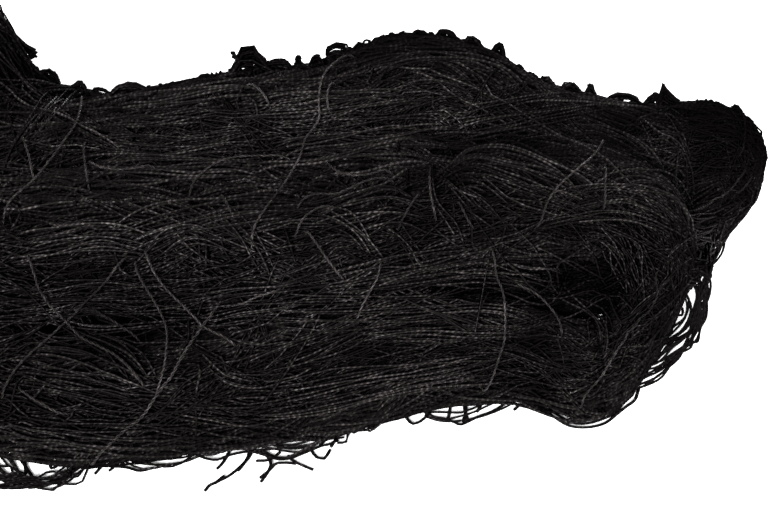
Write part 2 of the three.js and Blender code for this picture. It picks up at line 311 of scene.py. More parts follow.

# %% [markdown]
# Some places on the net are blacker than others and a few are paler. Part of that is wear and dust, and part
# is painted shade and painted light: the far right end, the free end and the recess by the front right fold
# are painted darker for the shade they lie in, and the notch beside that fold and the whole back are painted
# lighter. A painted picture could show that, but it would need a place for every strand. Here each spot is a
# ball with a soft edge: its middle, its size in millimetres and its change. Every strand takes its tone from
# the balls on its way.

# %% Wear, dust, painted shade and painted light
# The first three spots are painted shade on the far right end, the free end and the recess by the front right
# fold. The spots at (131, 6, 18) and (0, 62, 18) are painted light on the notch beside that fold and on the
# back.
WEAR_AND_PAINTED_LIGHT_SPOTS = [
    ((144, 32, 44), (34, 24, 24), -0.97), ((-95, 40, 58), (38, 26, 40), -0.9),
    ((108, -15, 24), (25, 25, 25), -0.72), ((48, 44, 64), (60, 13, 10), -0.75),
    ((108, 22, 47), (14, 12, 10), -0.7), ((74, 4, 55), (24, 8, 10), -0.75), ((119, 21, 45), (8, 8, 8), 2.5),
    ((25, 22, 58), (24, 14, 12), 0.2), ((-52, -38, 25), (62, 40, 34), -0.3),
    ((78, -38, 16), (12, 12, 12), -0.85), ((10, -66, 10), (60, 12, 14), -0.3),
    ((53, -10, 57), (14, 8, 10), -0.7), ((70, -16, 55), (18, 11, 12), -0.4),
    ((62, -26, 47), (18, 8, 9), -0.35), ((0, -16, 51), (26, 8, 10), -0.5),
    ((-42, -38, 38), (26, 10, 10), -0.5), ((-24, -40, 31), (16, 9, 9), -0.5),
    ((-50, -66, 2), (40, 10, 8), -0.6), ((80, 20, 54), (14, 10, 9), -0.7),
    ((-55, 6, 54), (18, 10, 10), -0.45), ((-12, 34, 56), (42, 9, 8), -0.3),
    ((48, -45, 10), (12, 8, 10), -0.35), ((-18, -60, 8), (16, 9, 10), -0.35),
    ((38, -23, 52), (14, 10, 10), -0.28), ((131, 6, 18), (9, 12, 14), 0.5),
    ((0, 62, 18), (170, 16, 30), 1.6), ((96, 28, 49), (14, 10, 9), -0.4),
    ((134, 14, 33), (12, 10, 12), -0.3),
]


def wear_and_painted_light_at(points):
    """How much wear, dust, painted shade and painted light change the net's tone at points in mm."""
    wear = np.ones(len(points))
    for middle, size, change in WEAR_AND_PAINTED_LIGHT_SPOTS:
        wear *= 1 + change * np.exp(-(((points - middle) / size) ** 2).sum(1) ** 2)
    return wear


def add_tones(mesh, tones):
    """Stores a tone for each vertex of a mesh, for its material to read."""
    mesh.attributes.new("tone", "FLOAT", "POINT").data.foreach_set("value", tones.astype(np.float32))


print(len(WEAR_AND_PAINTED_LIGHT_SPOTS), "spots of wear and shade")

# %% [markdown]
# A tube is a ring of three or four corners at each point of its path, joined to the next ring by quads and
# closed at both ends. Screwing or extruding them one by one would take minutes, so the rings of hundreds of
# strands are worked out at once. Each finished piece rides on the net's one body and stands for the solid.

# %% Tubes and pieces
TWINE_RADIUS = 0.37


def tube_mesh(name, strands, tones, radius, sides):
    """One mesh of closed tubes along strands, each a path and the outward directions beside it, in mm."""
    paths, outs = zip(*strands)
    counts = np.array([len(path) for path in paths])
    points, out = np.vstack(paths), np.vstack(outs)
    first = np.concatenate([[0], np.cumsum(counts)[:-1]])
    last = first + counts - 1
    ahead = np.minimum(np.arange(len(points)) + 1, np.repeat(last, counts))
    behind = np.maximum(np.arange(len(points)) - 1, np.repeat(first, counts))
    forward = unit(points[ahead] - points[behind])
    out = unit(out - forward * (out * forward).sum(1, keepdims=True))
    aside = np.cross(forward, out)
    turn = 2 * np.pi * np.arange(sides)[:, None] / sides
    ring = np.cos(turn) * out[:, None] + np.sin(turn) * aside[:, None]
    vertices = (points[:, None] + ring * radius).reshape(-1, 3) * MM

    side = np.arange(sides)
    following = (side + 1) % sides
    near = np.delete(np.arange(len(points)), last)[:, None] * sides
    far = near + sides
    quads = np.stack([near + side, near + following, far + following, far + side], -1).reshape(-1, 4)
    caps = np.vstack([first[:, None] * sides + side[::-1], last[:, None] * sides + side])
    mesh = bpy.data.meshes.new(name)
    mesh.from_pydata(vertices, [], quads.tolist() + caps.tolist())
    mesh.shade_smooth()

    run = np.cumsum(np.linalg.norm(points - points[behind], axis=1))
    lay_maps(mesh, run - np.repeat(run[first], counts), counts, last, sides)
    add_tones(mesh, np.repeat(np.repeat(tones, counts) * wear_and_painted_light_at(points), sides))
    return mesh


def add_piece(name, mesh, material):
    """A finished piece of the net."""
    piece = bpy.data.objects.new(name, mesh)
    bpy.context.collection.objects.link(piece)
    mesh.materials.append(material)
    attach(piece, "root")
    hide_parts(NODE)
    mesh.calc_loop_triangles()
    print(name, len(mesh.loop_triangles), "triangles")


def add_twine(name, strands, tones, material, radius=TWINE_RADIUS, sides=3):
    """A finished piece made of tubes along strands."""
    add_piece(name, tube_mesh(name, strands, tones, radius, sides), material)


print("twine", 2 * TWINE_RADIUS, "mm thick")

# %% [markdown]
# ## Shader maths
# A finish like worn twine is a sum of patterns. It could be a net of nodes joined by hand. A small class that
# wraps a socket lets it be written as a sum instead, and the operators add the Math nodes.

# %% Shader values as Python expressions
class Value:
    """A socket's value in a material. Operators add Math nodes."""

    def __init__(self, tree, socket=None):
        self.tree, self.socket = tree, socket

    def node(self, kind, output, settings=None, **sockets):
        """One output of any node: its settings first, then its sockets by name, or by i and a number."""
        made = self.tree.nodes.new(kind)
        for key, value in (settings or {}).items():
            setattr(made, key, value)
        for key, value in sockets.items():
            numbered = key[0] == "i" and key[1:].isdigit()
            spot = made.inputs[int(key[1:]) if numbered else key.replace("_", " ")]
            if isinstance(value, Value):
                value.feed(spot)
            else:
                spot.default_value = value
        return Value(self.tree, made.outputs[output])

    def feed(self, spot):
        """Links this value to another socket."""
        self.tree.links.new(self.socket, spot)

    def maths(self, operation, *values):
        """A Math node's result."""
        numbered = {f"i{place}": value for place, value in enumerate(values)}
        return self.node("ShaderNodeMath", 0, {"operation": operation}, **numbered)

    def between(self, first, second):
        """The colour that is this share of the way from one colour to another."""
        return self.node("ShaderNodeMix", 2, {"data_type": "RGBA"}, Factor=self, i6=first, i7=second)

    def __add__(self, other):
        return self.maths("ADD", self, other)

    def __sub__(self, other):
        return self.maths("SUBTRACT", self, other)

    def __rsub__(self, other):
        return self.maths("SUBTRACT", other, self)

    def __mul__(self, other):
        return self.maths("MULTIPLY", self, other)

    def __pow__(self, other):
        return self.maths("POWER", self, other)

    __radd__, __rmul__ = __add__, __mul__


def new_material(name):
    """A new material with its shader, and a value that expressions can start from."""
    material = bpy.data.materials.new(name)
    material.use_nodes = True
    tree = material.node_tree
    return material, tree.nodes["Principled BSDF"], Value(tree)


# %% [markdown]
# The twine's patterns are few: humps in a row for beads and strands, noise on a flat map, and noise with more
# contrast for patches of painted highlight and of dust. The finishes below share them, and all of them read
# the same map and tone.

# %% Patterns of twine
def twine_map(start):
    """The two directions of the twine map, and the tone."""
    uv = start.node("ShaderNodeUVMap", "UV", {"uv_map": "twine"})
    around, place = (start.node("ShaderNodeSeparateXYZ", axis, Vector=uv) for axis in "XY")
    return around, place, start.node("ShaderNodeAttribute", "Fac", {"attribute_name": "tone"})


def humps(turns):
    """A row of rounded humps, one to each turn."""
    return turns.maths("ABSOLUTE", turns.maths("SINE", turns * math.pi))


def flat_noise(x, y):
    """Noise over a flat map, with about one blot to each unit."""
    spot = x.node("ShaderNodeCombineXYZ", 0, X=x, Y=y)
    return x.node("ShaderNodeTexNoise", "Fac", {"noise_dimensions": "2D"}, Vector=spot, Scale=1.0)


def patches(noise, gain, cut, least):
    """Noise with more contrast, and a least value between the patches."""
    return noise.maths("MAXIMUM", noise * gain - cut, least)


# %% [markdown]
# ## Black twine
# The twine is two plies of black plastic twisted together, so a strand looks like a row of beads. It is dull,
# and greyer in dusty patches. The beads could be modelled, but on this many strands they would be millions of
# faces, so a bump along the map draws them. Its colour carries painted shade as well: darker in the grooves
# between beads and on the sides of a strand, where strands touch. Noise along each strand paints highlights
# in stretches, and noise in space dusts whole patches.

# %% Black twine
PLIES = 2
LAY = 3.1
BEAD_SLANT, BEAD_POWER, BEAD_HEIGHT = 0.08, 3.0, 0.25 * MM
SIDE_SHADING_POWER = 1.5
HIGHLIGHT_ALONG, HIGHLIGHT_APART = 0.22, 90.0
HIGHLIGHT_CONTRAST = (3.3, 1.15, 0.08)
DUST_SCALE, DUST_DETAIL = 105.0, 1.0
DUSTY = (2.8, 0.75, 0.2)
EVEN_HIGHLIGHT_AND_DUST, UNWORN = 0.45, 0.06
# The second colour is the grey of the painted highlights and of the dust.
DARK, DUSTY_AND_LIT_GREY = (0.0012, 0.001, 0.001, 1), (0.037, 0.0318, 0.0323, 1)
DULL, CROWN_POLISH = 0.72, 0.2
SHEEN, SHEEN_ROUGHNESS = 0.2, 0.35


def twine_material(name, bead, depth, even):
    """Twine with a bead every so many mm. Depth is the painted shade between beads and on the strand's sides,
    and even takes out the painted highlight stretches and the dust patches.
    """
    material, shader, start = new_material(name)
    around, place, tone = twine_map(start)
    turn = around * (2 * math.pi)
    # Painted shade: the grooves between beads and the sides of the strand, where strands touch, are darker.
    crown = humps(place * (1 / bead) + start.maths("SINE", turn) * BEAD_SLANT) ** BEAD_POWER
    painted_side_shading = (start.maths("COSINE", turn) * 0.5 + 0.5) ** SIDE_SHADING_POWER
    # Painted highlights: lighter stretches at random along each strand, for light caught where it turns.
    painted_highlights = patches(flat_noise(place * HIGHLIGHT_ALONG, tone * HIGHLIGHT_APART), *HIGHLIGHT_CONTRAST)
    body = start.node("ShaderNodeTexCoord", "Object")
    dust = start.node("ShaderNodeTexNoise", "Fac", Vector=body, Scale=DUST_SCALE, Detail=DUST_DETAIL)
    # This mixes the painted highlights with the dust.
    wear = painted_highlights * patches(dust, *DUSTY) * (1 - even) + even * EVEN_HIGHLIGHT_AND_DUST
    painted_shading = (crown * depth + (1 - depth)) * (painted_side_shading * depth + (1 - depth))
    shade = (painted_shading * wear + UNWORN) * tone
    shade.between(DARK, DUSTY_AND_LIT_GREY).feed(shader.inputs["Base Color"])
    (DULL - crown * CROWN_POLISH).feed(shader.inputs["Roughness"])
    (shade * SHEEN).feed(shader.inputs["Coat Weight"])
    bump = start.node("ShaderNodeBump", "Normal", Strength=1.0, Distance=BEAD_HEIGHT, Height=crown)
    bump.feed(shader.inputs["Normal"])
    shader.inputs["Specular IOR Level"].default_value = 0.0
    shader.inputs["Coat Roughness"].default_value = SHEEN_ROUGHNESS
    return material


STRAND_PAINTED_SHADING = 0.9
black_twine = twine_material("black_twine", LAY / PLIES, STRAND_PAINTED_SHADING, 0.0)
print("a bead every", LAY / PLIES, "mm")

# %% [markdown]
# ## The strands of the band
# In the photograph the strands lie in skeins: ribbons of about a dozen that run side by side, drift over the
# band and slip over and under each other. Hair could be combed that way, but here every strand has to follow
# one band through all its folds. So each skein has an angle around the band and a height over it, and both
# change in slow random waves.

# %% Skeins around the band
rng = np.random.default_rng(7)
SKEINS = 50
SKEIN_WINDING = 0.005
SKEIN_HEIGHTS = (-2.6, -0.5)
STRAND_SPACING = 0.95
STRETCH = (0.75, 1.35)


def waves(count, lengths, size):
    """Slow random waves along the band, one row for each skein or strand. Their lengths are in mm."""
    total = np.zeros((count, station_count))
    for length in lengths:
        phase = rng.uniform(0, 2 * np.pi, (count, 1))
        stretch = rng.uniform(*STRETCH, (count, 1))
        total += np.sin(travelled / (length * stretch) * 2 * np.pi + phase)
    return total * size / math.sqrt(len(lengths))


skein_angle = np.linspace(0, 2 * np.pi, SKEINS, endpoint=False)[:, None]
skein_angle = skein_angle + rng.uniform(-SKEIN_WINDING, SKEIN_WINDING, (SKEINS, 1)) * travelled
skein_angle = skein_angle + waves(SKEINS, (240, 130, 80), 0.2) + waves(SKEINS, (65, 40), 0.1)
skein_lift = rng.uniform(*SKEIN_HEIGHTS, (SKEINS, 1)) + waves(SKEINS, (70, 40), 1.0)
spacing = STRAND_SPACING + waves(SKEINS, (150, 60), 0.25)
print(SKEINS, "skeins")

# %% [markdown]
# Each strand then gets its place in its skein, which is a little arched, and waves and kinks of its own.
# Round the front right fold the net is more tangled, so its strands stray up to twice as far sideways there.

# %% Strands of the skeins
SKEIN_STRANDS = 10
ARCH = 0.02
KINK, KINK_RISE = 0.75, 0.8
HIGHEST = 0.4
FOLD_ROW = len(BACK_PASS + BACK_TURN + TOP_PASS + TOP_TURN + MIDDLE_PASS) + 1.5
FOLD_REACH = 2
mean_size = np.sqrt(half_wide * half_tall)
in_skein = (np.arange(SKEIN_STRANDS) - (SKEIN_STRANDS - 1) / 2)[None, :, None]
angle = skein_angle[:, None] + in_skein * (spacing / mean_size)[:, None]
lift = skein_lift[:, None] - ARCH * in_skein ** 2
angle = angle.reshape(-1, station_count)
lift = np.broadcast_to(lift, (SKEINS, SKEIN_STRANDS, station_count)).reshape(-1, station_count)
mess = 1 + np.exp(-((stations - FOLD_ROW) / FOLD_REACH) ** 2)
angle = angle + (waves(len(angle), (60, 26), 1.6) + rng.normal(0, KINK, angle.shape)) * mess / mean_size
lift = lift + waves(len(lift), (45, 25), 0.6) + rng.normal(0, KINK_RISE * KINK, lift.shape)
strand_points, strand_out = on_band(angle, np.minimum(lift, HIGHEST))
strand_points[..., 2] = np.maximum(strand_points[..., 2], TWINE_RADIUS)
strand_count = len(angle)
print(strand_count, "strands")

# %% [markdown]
# Part of each strand is inside the bundle, where nobody sees it. Cutting the tubes with the solid would be
# slow and leave open ends, so points more than a few millimetres below the solid's surface are left out
# before there are any tubes. On the underside one strand in four is enough.

# %% Keep what can show
DEEPEST = 3.4
UNDERSIDE = 8.0
FACES_DOWN = -0.35
SPARED_EVERY = 4
node_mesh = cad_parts[NODE].data
solid = BVHTree.FromPolygons([v.co for v in node_mesh.vertices], [p.vertices for p in node_mesh.polygons])


def depth_below(points):
    """How far below the solid's surface each point is, in mm. Outside it is negative."""
    depths = []
    for point in points:
        spot, normal, _, distance = solid.find_nearest(Vector(point) * MM)
        inside = (Vector(point) * MM - spot).dot(normal) < 0
        depths.append(distance / MM * (1 if inside else -1))
    return np.array(depths)


depth = depth_below(strand_points.reshape(-1, 3)).reshape(strand_points.shape[:2])
under = (strand_out[..., 2] < FACES_DOWN) & (strand_points[..., 2] < UNDERSIDE)
spared = (np.arange(strand_count) % SPARED_EVERY == 0)[:, None]
shows = (depth < DEEPEST) & (spared | ~under)
grown = shows.copy()
grown[:, 1:] |= shows[:, :-1]
grown[:, :-1] |= shows[:, 1:]
print(round(100 * shows.mean()), "percent of the strands' length can show")

# %% [markdown]
# What is left of the strands becomes one piece for each stretch of the band, so that no mesh is too heavy. A
# strand that goes out of sight and comes back is two tubes. Each strand has a brightness of its own, because
# in the photograph some are nearly black beside grey ones.

# %% The strands as meshes
FEWEST_POINTS = 4
STRAND_TONE, STRAND_SPREAD = 0.43, 0.6


def chance_tones(count, usual, spread):
    """A brightness for each strand, around a usual one."""
    return usual * rng.lognormal(0, spread, count)


def runs_of(mask):
    """Start and end of each unbroken run in a row of true and false."""
    edges = np.flatnonzero(np.diff(np.concatenate([[0], mask.astype(int), [0]])))
    return edges.reshape(-1, 2)


stretch_rows = np.cumsum([0] + [len(rows) for rows in STRETCHES.values()])
stretch_at = np.searchsorted(stretch_rows, stations, side="right") - 1
strand_tone = chance_tones(strand_count, STRAND_TONE, STRAND_SPREAD)
for stretch, stretch_name in enumerate(STRETCHES):
    kept, kept_tones = [], []
    for strand in range(strand_count):
        for begin, end in runs_of(grown[strand] & (stretch_at == stretch)):
            end = min(end + 1, station_count)
            if end - begin >= FEWEST_POINTS:
                kept.append((strand_points[strand, begin:end], strand_out[strand, begin:end]))
                kept_tones.append(strand_tone[strand])
    add_twine(f"strands_{stretch_name}", kept, kept_tones, black_twine)

# %% [markdown]
# ## The dark heart of the band
# Between the strands the eye meets more strands, deeper down and in shade. A plain tube a little inside the
# band closes the view there. It could carry a thousand more tubes, but they only show through narrow gaps, so
# its material draws them, with painted shade between them: the tube's map counts strands around the band and
# millimetres along it.

# %% A tube around the band
BAND_SIDES = 56
column = np.arange(BAND_SIDES)


def band_tube(name, lift):
    """A closed tube around the whole band, some height over its surface in mm."""
    turn = (2 * np.pi * column / BAND_SIDES)[:, None] + np.zeros(station_count)
    points, _ = on_band(turn, np.full(turn.shape, lift))
    points[..., 2] = np.maximum(points[..., 2], TWINE_RADIUS)
    points = points.transpose(1, 0, 2).reshape(-1, 3)
    row = (np.arange(station_count - 1) * BAND_SIDES)[:, None]
    ahead = (column + 1) % BAND_SIDES
    faces = np.stack([row + column, row + ahead, row + BAND_SIDES + ahead, row + BAND_SIDES + column], -1)
    caps = [column[::-1].tolist(), (column + (station_count - 1) * BAND_SIDES).tolist()]
    mesh = bpy.data.meshes.new(name)
    mesh.from_pydata(points * MM, [], faces.reshape(-1, 4).tolist() + caps)
    return mesh, points


INNER_DEPTH = 3.0
INNER_STRANDS = 128
inner_mesh, inner_points = band_tube("inner_strands", -INNER_DEPTH)
inner_mesh.shade_smooth()
strand_number = np.stack([column, column + 1, column + 1, column], -1) * (INNER_STRANDS / BAND_SIDES)
lengthwise = np.stack([travelled[:-1], travelled[:-1], travelled[1:], travelled[1:]], -1)
inner_map = np.zeros((len(inner_mesh.loops), 2), np.float32)
quad_corners = (station_count - 1) * BAND_SIDES * 4
inner_map[:quad_corners, 0] = np.tile(strand_number.ravel(), station_count - 1)
inner_map[:quad_corners, 1] = lengthwise[:, None].repeat(BAND_SIDES, 1).ravel()
inner_mesh.uv_layers.new(name="twine").data.foreach_set("uv", inner_map.ravel())
add_tones(inner_mesh, wear_and_painted_light_at(inner_points))
print("tube around the band,", len(inner_mesh.polygons), "faces")

# %% [markdown]
# The drawn strands are rounded ridges, side by side, that sway slowly. The whole number of a strand picks its
# brightness by chance. Their colour is painted darker between the ridges and between the beads, for shade,
# and lighter in random stretches, for highlights, as on the built ones.

# %% Inner strands
SWAY_ALONG, SWAY_ACROSS, SWAY_STRANDS = 0.03, 0.1, 8.0
INNER_HIGHLIGHT_ALONG, INNER_HIGHLIGHT_APART = 0.12, 3.7
INNER_BEAD_POWER, INNER_BEAD_DEPTH = 2.4, 0.8
LEAST_BRIGHT = 0.3
RIDGE_HEIGHT = 0.4 * MM
INNER_ROUGHNESS = 0.7


def inner_material(name):
    """Strands that are drawn and not built."""
    material, shader, start = new_material(name)
    count, place, tone = twine_map(start)
    count = count + flat_noise(place * SWAY_ALONG, count * SWAY_ACROSS) * SWAY_STRANDS
    strand = start.maths("FLOOR", count)
    chance = start.node("ShaderNodeTexWhiteNoise", "Value", {"noise_dimensions": "1D"}, W=strand)
    painted_highlights = patches(flat_noise(place * INNER_HIGHLIGHT_ALONG, strand * INNER_HIGHLIGHT_APART), *HIGHLIGHT_CONTRAST)
    profile = humps(count)
    bead = humps(place * (PLIES / LAY) + chance) ** INNER_BEAD_POWER
    beaded = bead * INNER_BEAD_DEPTH + (1 - INNER_BEAD_DEPTH)
    # Painted shade between the drawn strands and between their beads, and painted highlights in stretches
    # along them.
    shade = profile * beaded * painted_highlights * (chance + LEAST_BRIGHT) * tone
    shade.between(DARK, DUSTY_AND_LIT_GREY).feed(shader.inputs["Base Color"])
    bump = start.node("ShaderNodeBump", "Normal", Strength=1.0, Distance=RIDGE_HEIGHT, Height=profile)
    bump.feed(shader.inputs["Normal"])
    shader.inputs["Roughness"].default_value = INNER_ROUGHNESS
    shader.inputs["Specular IOR Level"].default_value = 0.0
    return material


add_piece("inner_strands", inner_mesh, inner_material("inner_twine"))

# %% [markdown]
# ## Skeins laid over the folds
# Handling has pulled skeins of strands out of the band. They lie over the folds and bridge the valleys
# between them. A cloth simulation could drop them there, but not where the photograph shows them. So a tube
# around the band is fused, swollen, fused again and shrunk back, which fills the valleys and leaves a form to
# lay strands on. The form itself is thrown away afterwards.

# %% A form to drape over
BRIDGE = 9 * MM
CELL = 3 * MM
FUSE = ("REMESH", {"mode": "VOXEL", "voxel_size": CELL})
FORM_STEPS = [
    FUSE,
    ("DISPLACE", {"strength": BRIDGE, "mid_level": 0}),
    FUSE,
    ("DISPLACE", {"strength": -BRIDGE, "mid_level": 0}),
    FUSE,
    ("SMOOTH", {"iterations": 6}),
]
form = bpy.data.objects.new("form", band_tube("form", 0.0)[0])
bpy.context.collection.objects.link(form)
bpy.ops.object.select_all(action="DESELECT")
form.select_set(True)
bpy.context.view_layer.objects.active = form
for kind, settings in FORM_STEPS:
    step = form.modifiers.new(kind, kind)
    for setting, value in settings.items():
        setattr(step, setting, value)
    bpy.ops.object.modifier_apply(modifier=step.name)
form_mesh = form.data
drape = BVHTree.FromPolygons([v.co for v in form_mesh.vertices], [p.vertices for p in form_mesh.polygons])
bpy.data.objects.remove(form)
print("form to drape over:", len(form_mesh.polygons), "faces")

# %% [markdown]
# A strand is laid along a line of spots in the photograph. Each spot's line of sight meets the form or the
# floor beside it, or passes its side. Shrinkwrapping a curve would be close, but it wouldn't keep to the
# photograph. The strand lies a little over the form, and both ends dip under the others, so that none sticks
# out.

# %% Laying a strand
SIDE_SEARCH = range(-80, 81, 4)
SKEIN_STEP = 8.0
DIVE = 12.0
DIP_DEPTH = 3.0
FRINGE_RADIUS = 0.46
WINDOW = 5


def laid_at(x, y, beyond=None):
    """The spot and outward direction where a sight line meets the form, or else the floor or its side."""
    direction = sight_line(x, y)
    spot, normal, _, _ = drape.ray_cast(eye, direction)
    if spot is None and beyond == "floor":
        spot = eye + direction * ((TWINE_RADIUS * MM - eye.z) / direction.z)
        normal = Vector((0, 0, 1))
    elif spot is None and beyond == "side":
        passed = [eye + direction * (VIEW_DISTANCE + step * MM) for step in SIDE_SEARCH]
        spot = min(passed, key=lambda point: drape.find_nearest(point)[3])
        normal = drape.find_nearest(spot)[1]
    return None if spot is None else (np.array(spot) / MM, np.array(normal))


def smoothed(values):
    """Running means. The row gets shorter by one less than the window."""
    return np.convolve(values, np.ones(WINDOW) / WINDOW, "valid")


def even_depth(path):
    """Slides points along their sight lines, so that a strand beside the form runs smoothly from any side."""
    far = np.linalg.norm(path - eye_mm, axis=1)
    return eye_mm + unit(path - eye_mm) * smoothed(np.pad(far, WINDOW // 2, mode="edge"))[:, None]


def dipping(lift, run, reach):
    """A height along a strand that sinks below the form towards both ends."""
    dip = np.clip(1 - np.minimum(run, run[-1] - run) / reach, 0, 1) ** 2
    return lift - dip * (lift + DIP_DEPTH)


def dipped(path, out, lift, reach):
    """A path raised over the form, with both ends dipping under the other strands."""
    path = path + out * dipping(lift, length_along(path), reach)[:, None]
    path[:, 2] = np.maximum(path[:, 2], FRINGE_RADIUS)
    return path


def draped(pixels, lift, beyond=None, reach=DIVE, step=SKEIN_STEP):
    """A strand through spots of the photograph: its path and outward directions, or nothing if it misses."""
    pixels = np.array(pixels, float)
    count = max(FEWEST_POINTS, int(length_along(pixels)[-1] / step))
    track = spline(pixels, np.linspace(0, len(pixels) - 1, count))
    laid = [spot for spot in (laid_at(x, y, beyond) for x, y in track) if spot]
    if len(laid) < FEWEST_POINTS:
        return None
    path, out = (np.array(part) for part in zip(*laid))
    if beyond == "side":
        path = even_depth(path)
    return dipped(path, out, lift, reach), out


print("strands dip", DIP_DEPTH, "mm under at their ends")

# %% [markdown]
# Each row below is one skein as the photograph shows it: the number of its strands, then the lines that its
# outermost strands follow, in pixels. The other strands spread out between the two lines.

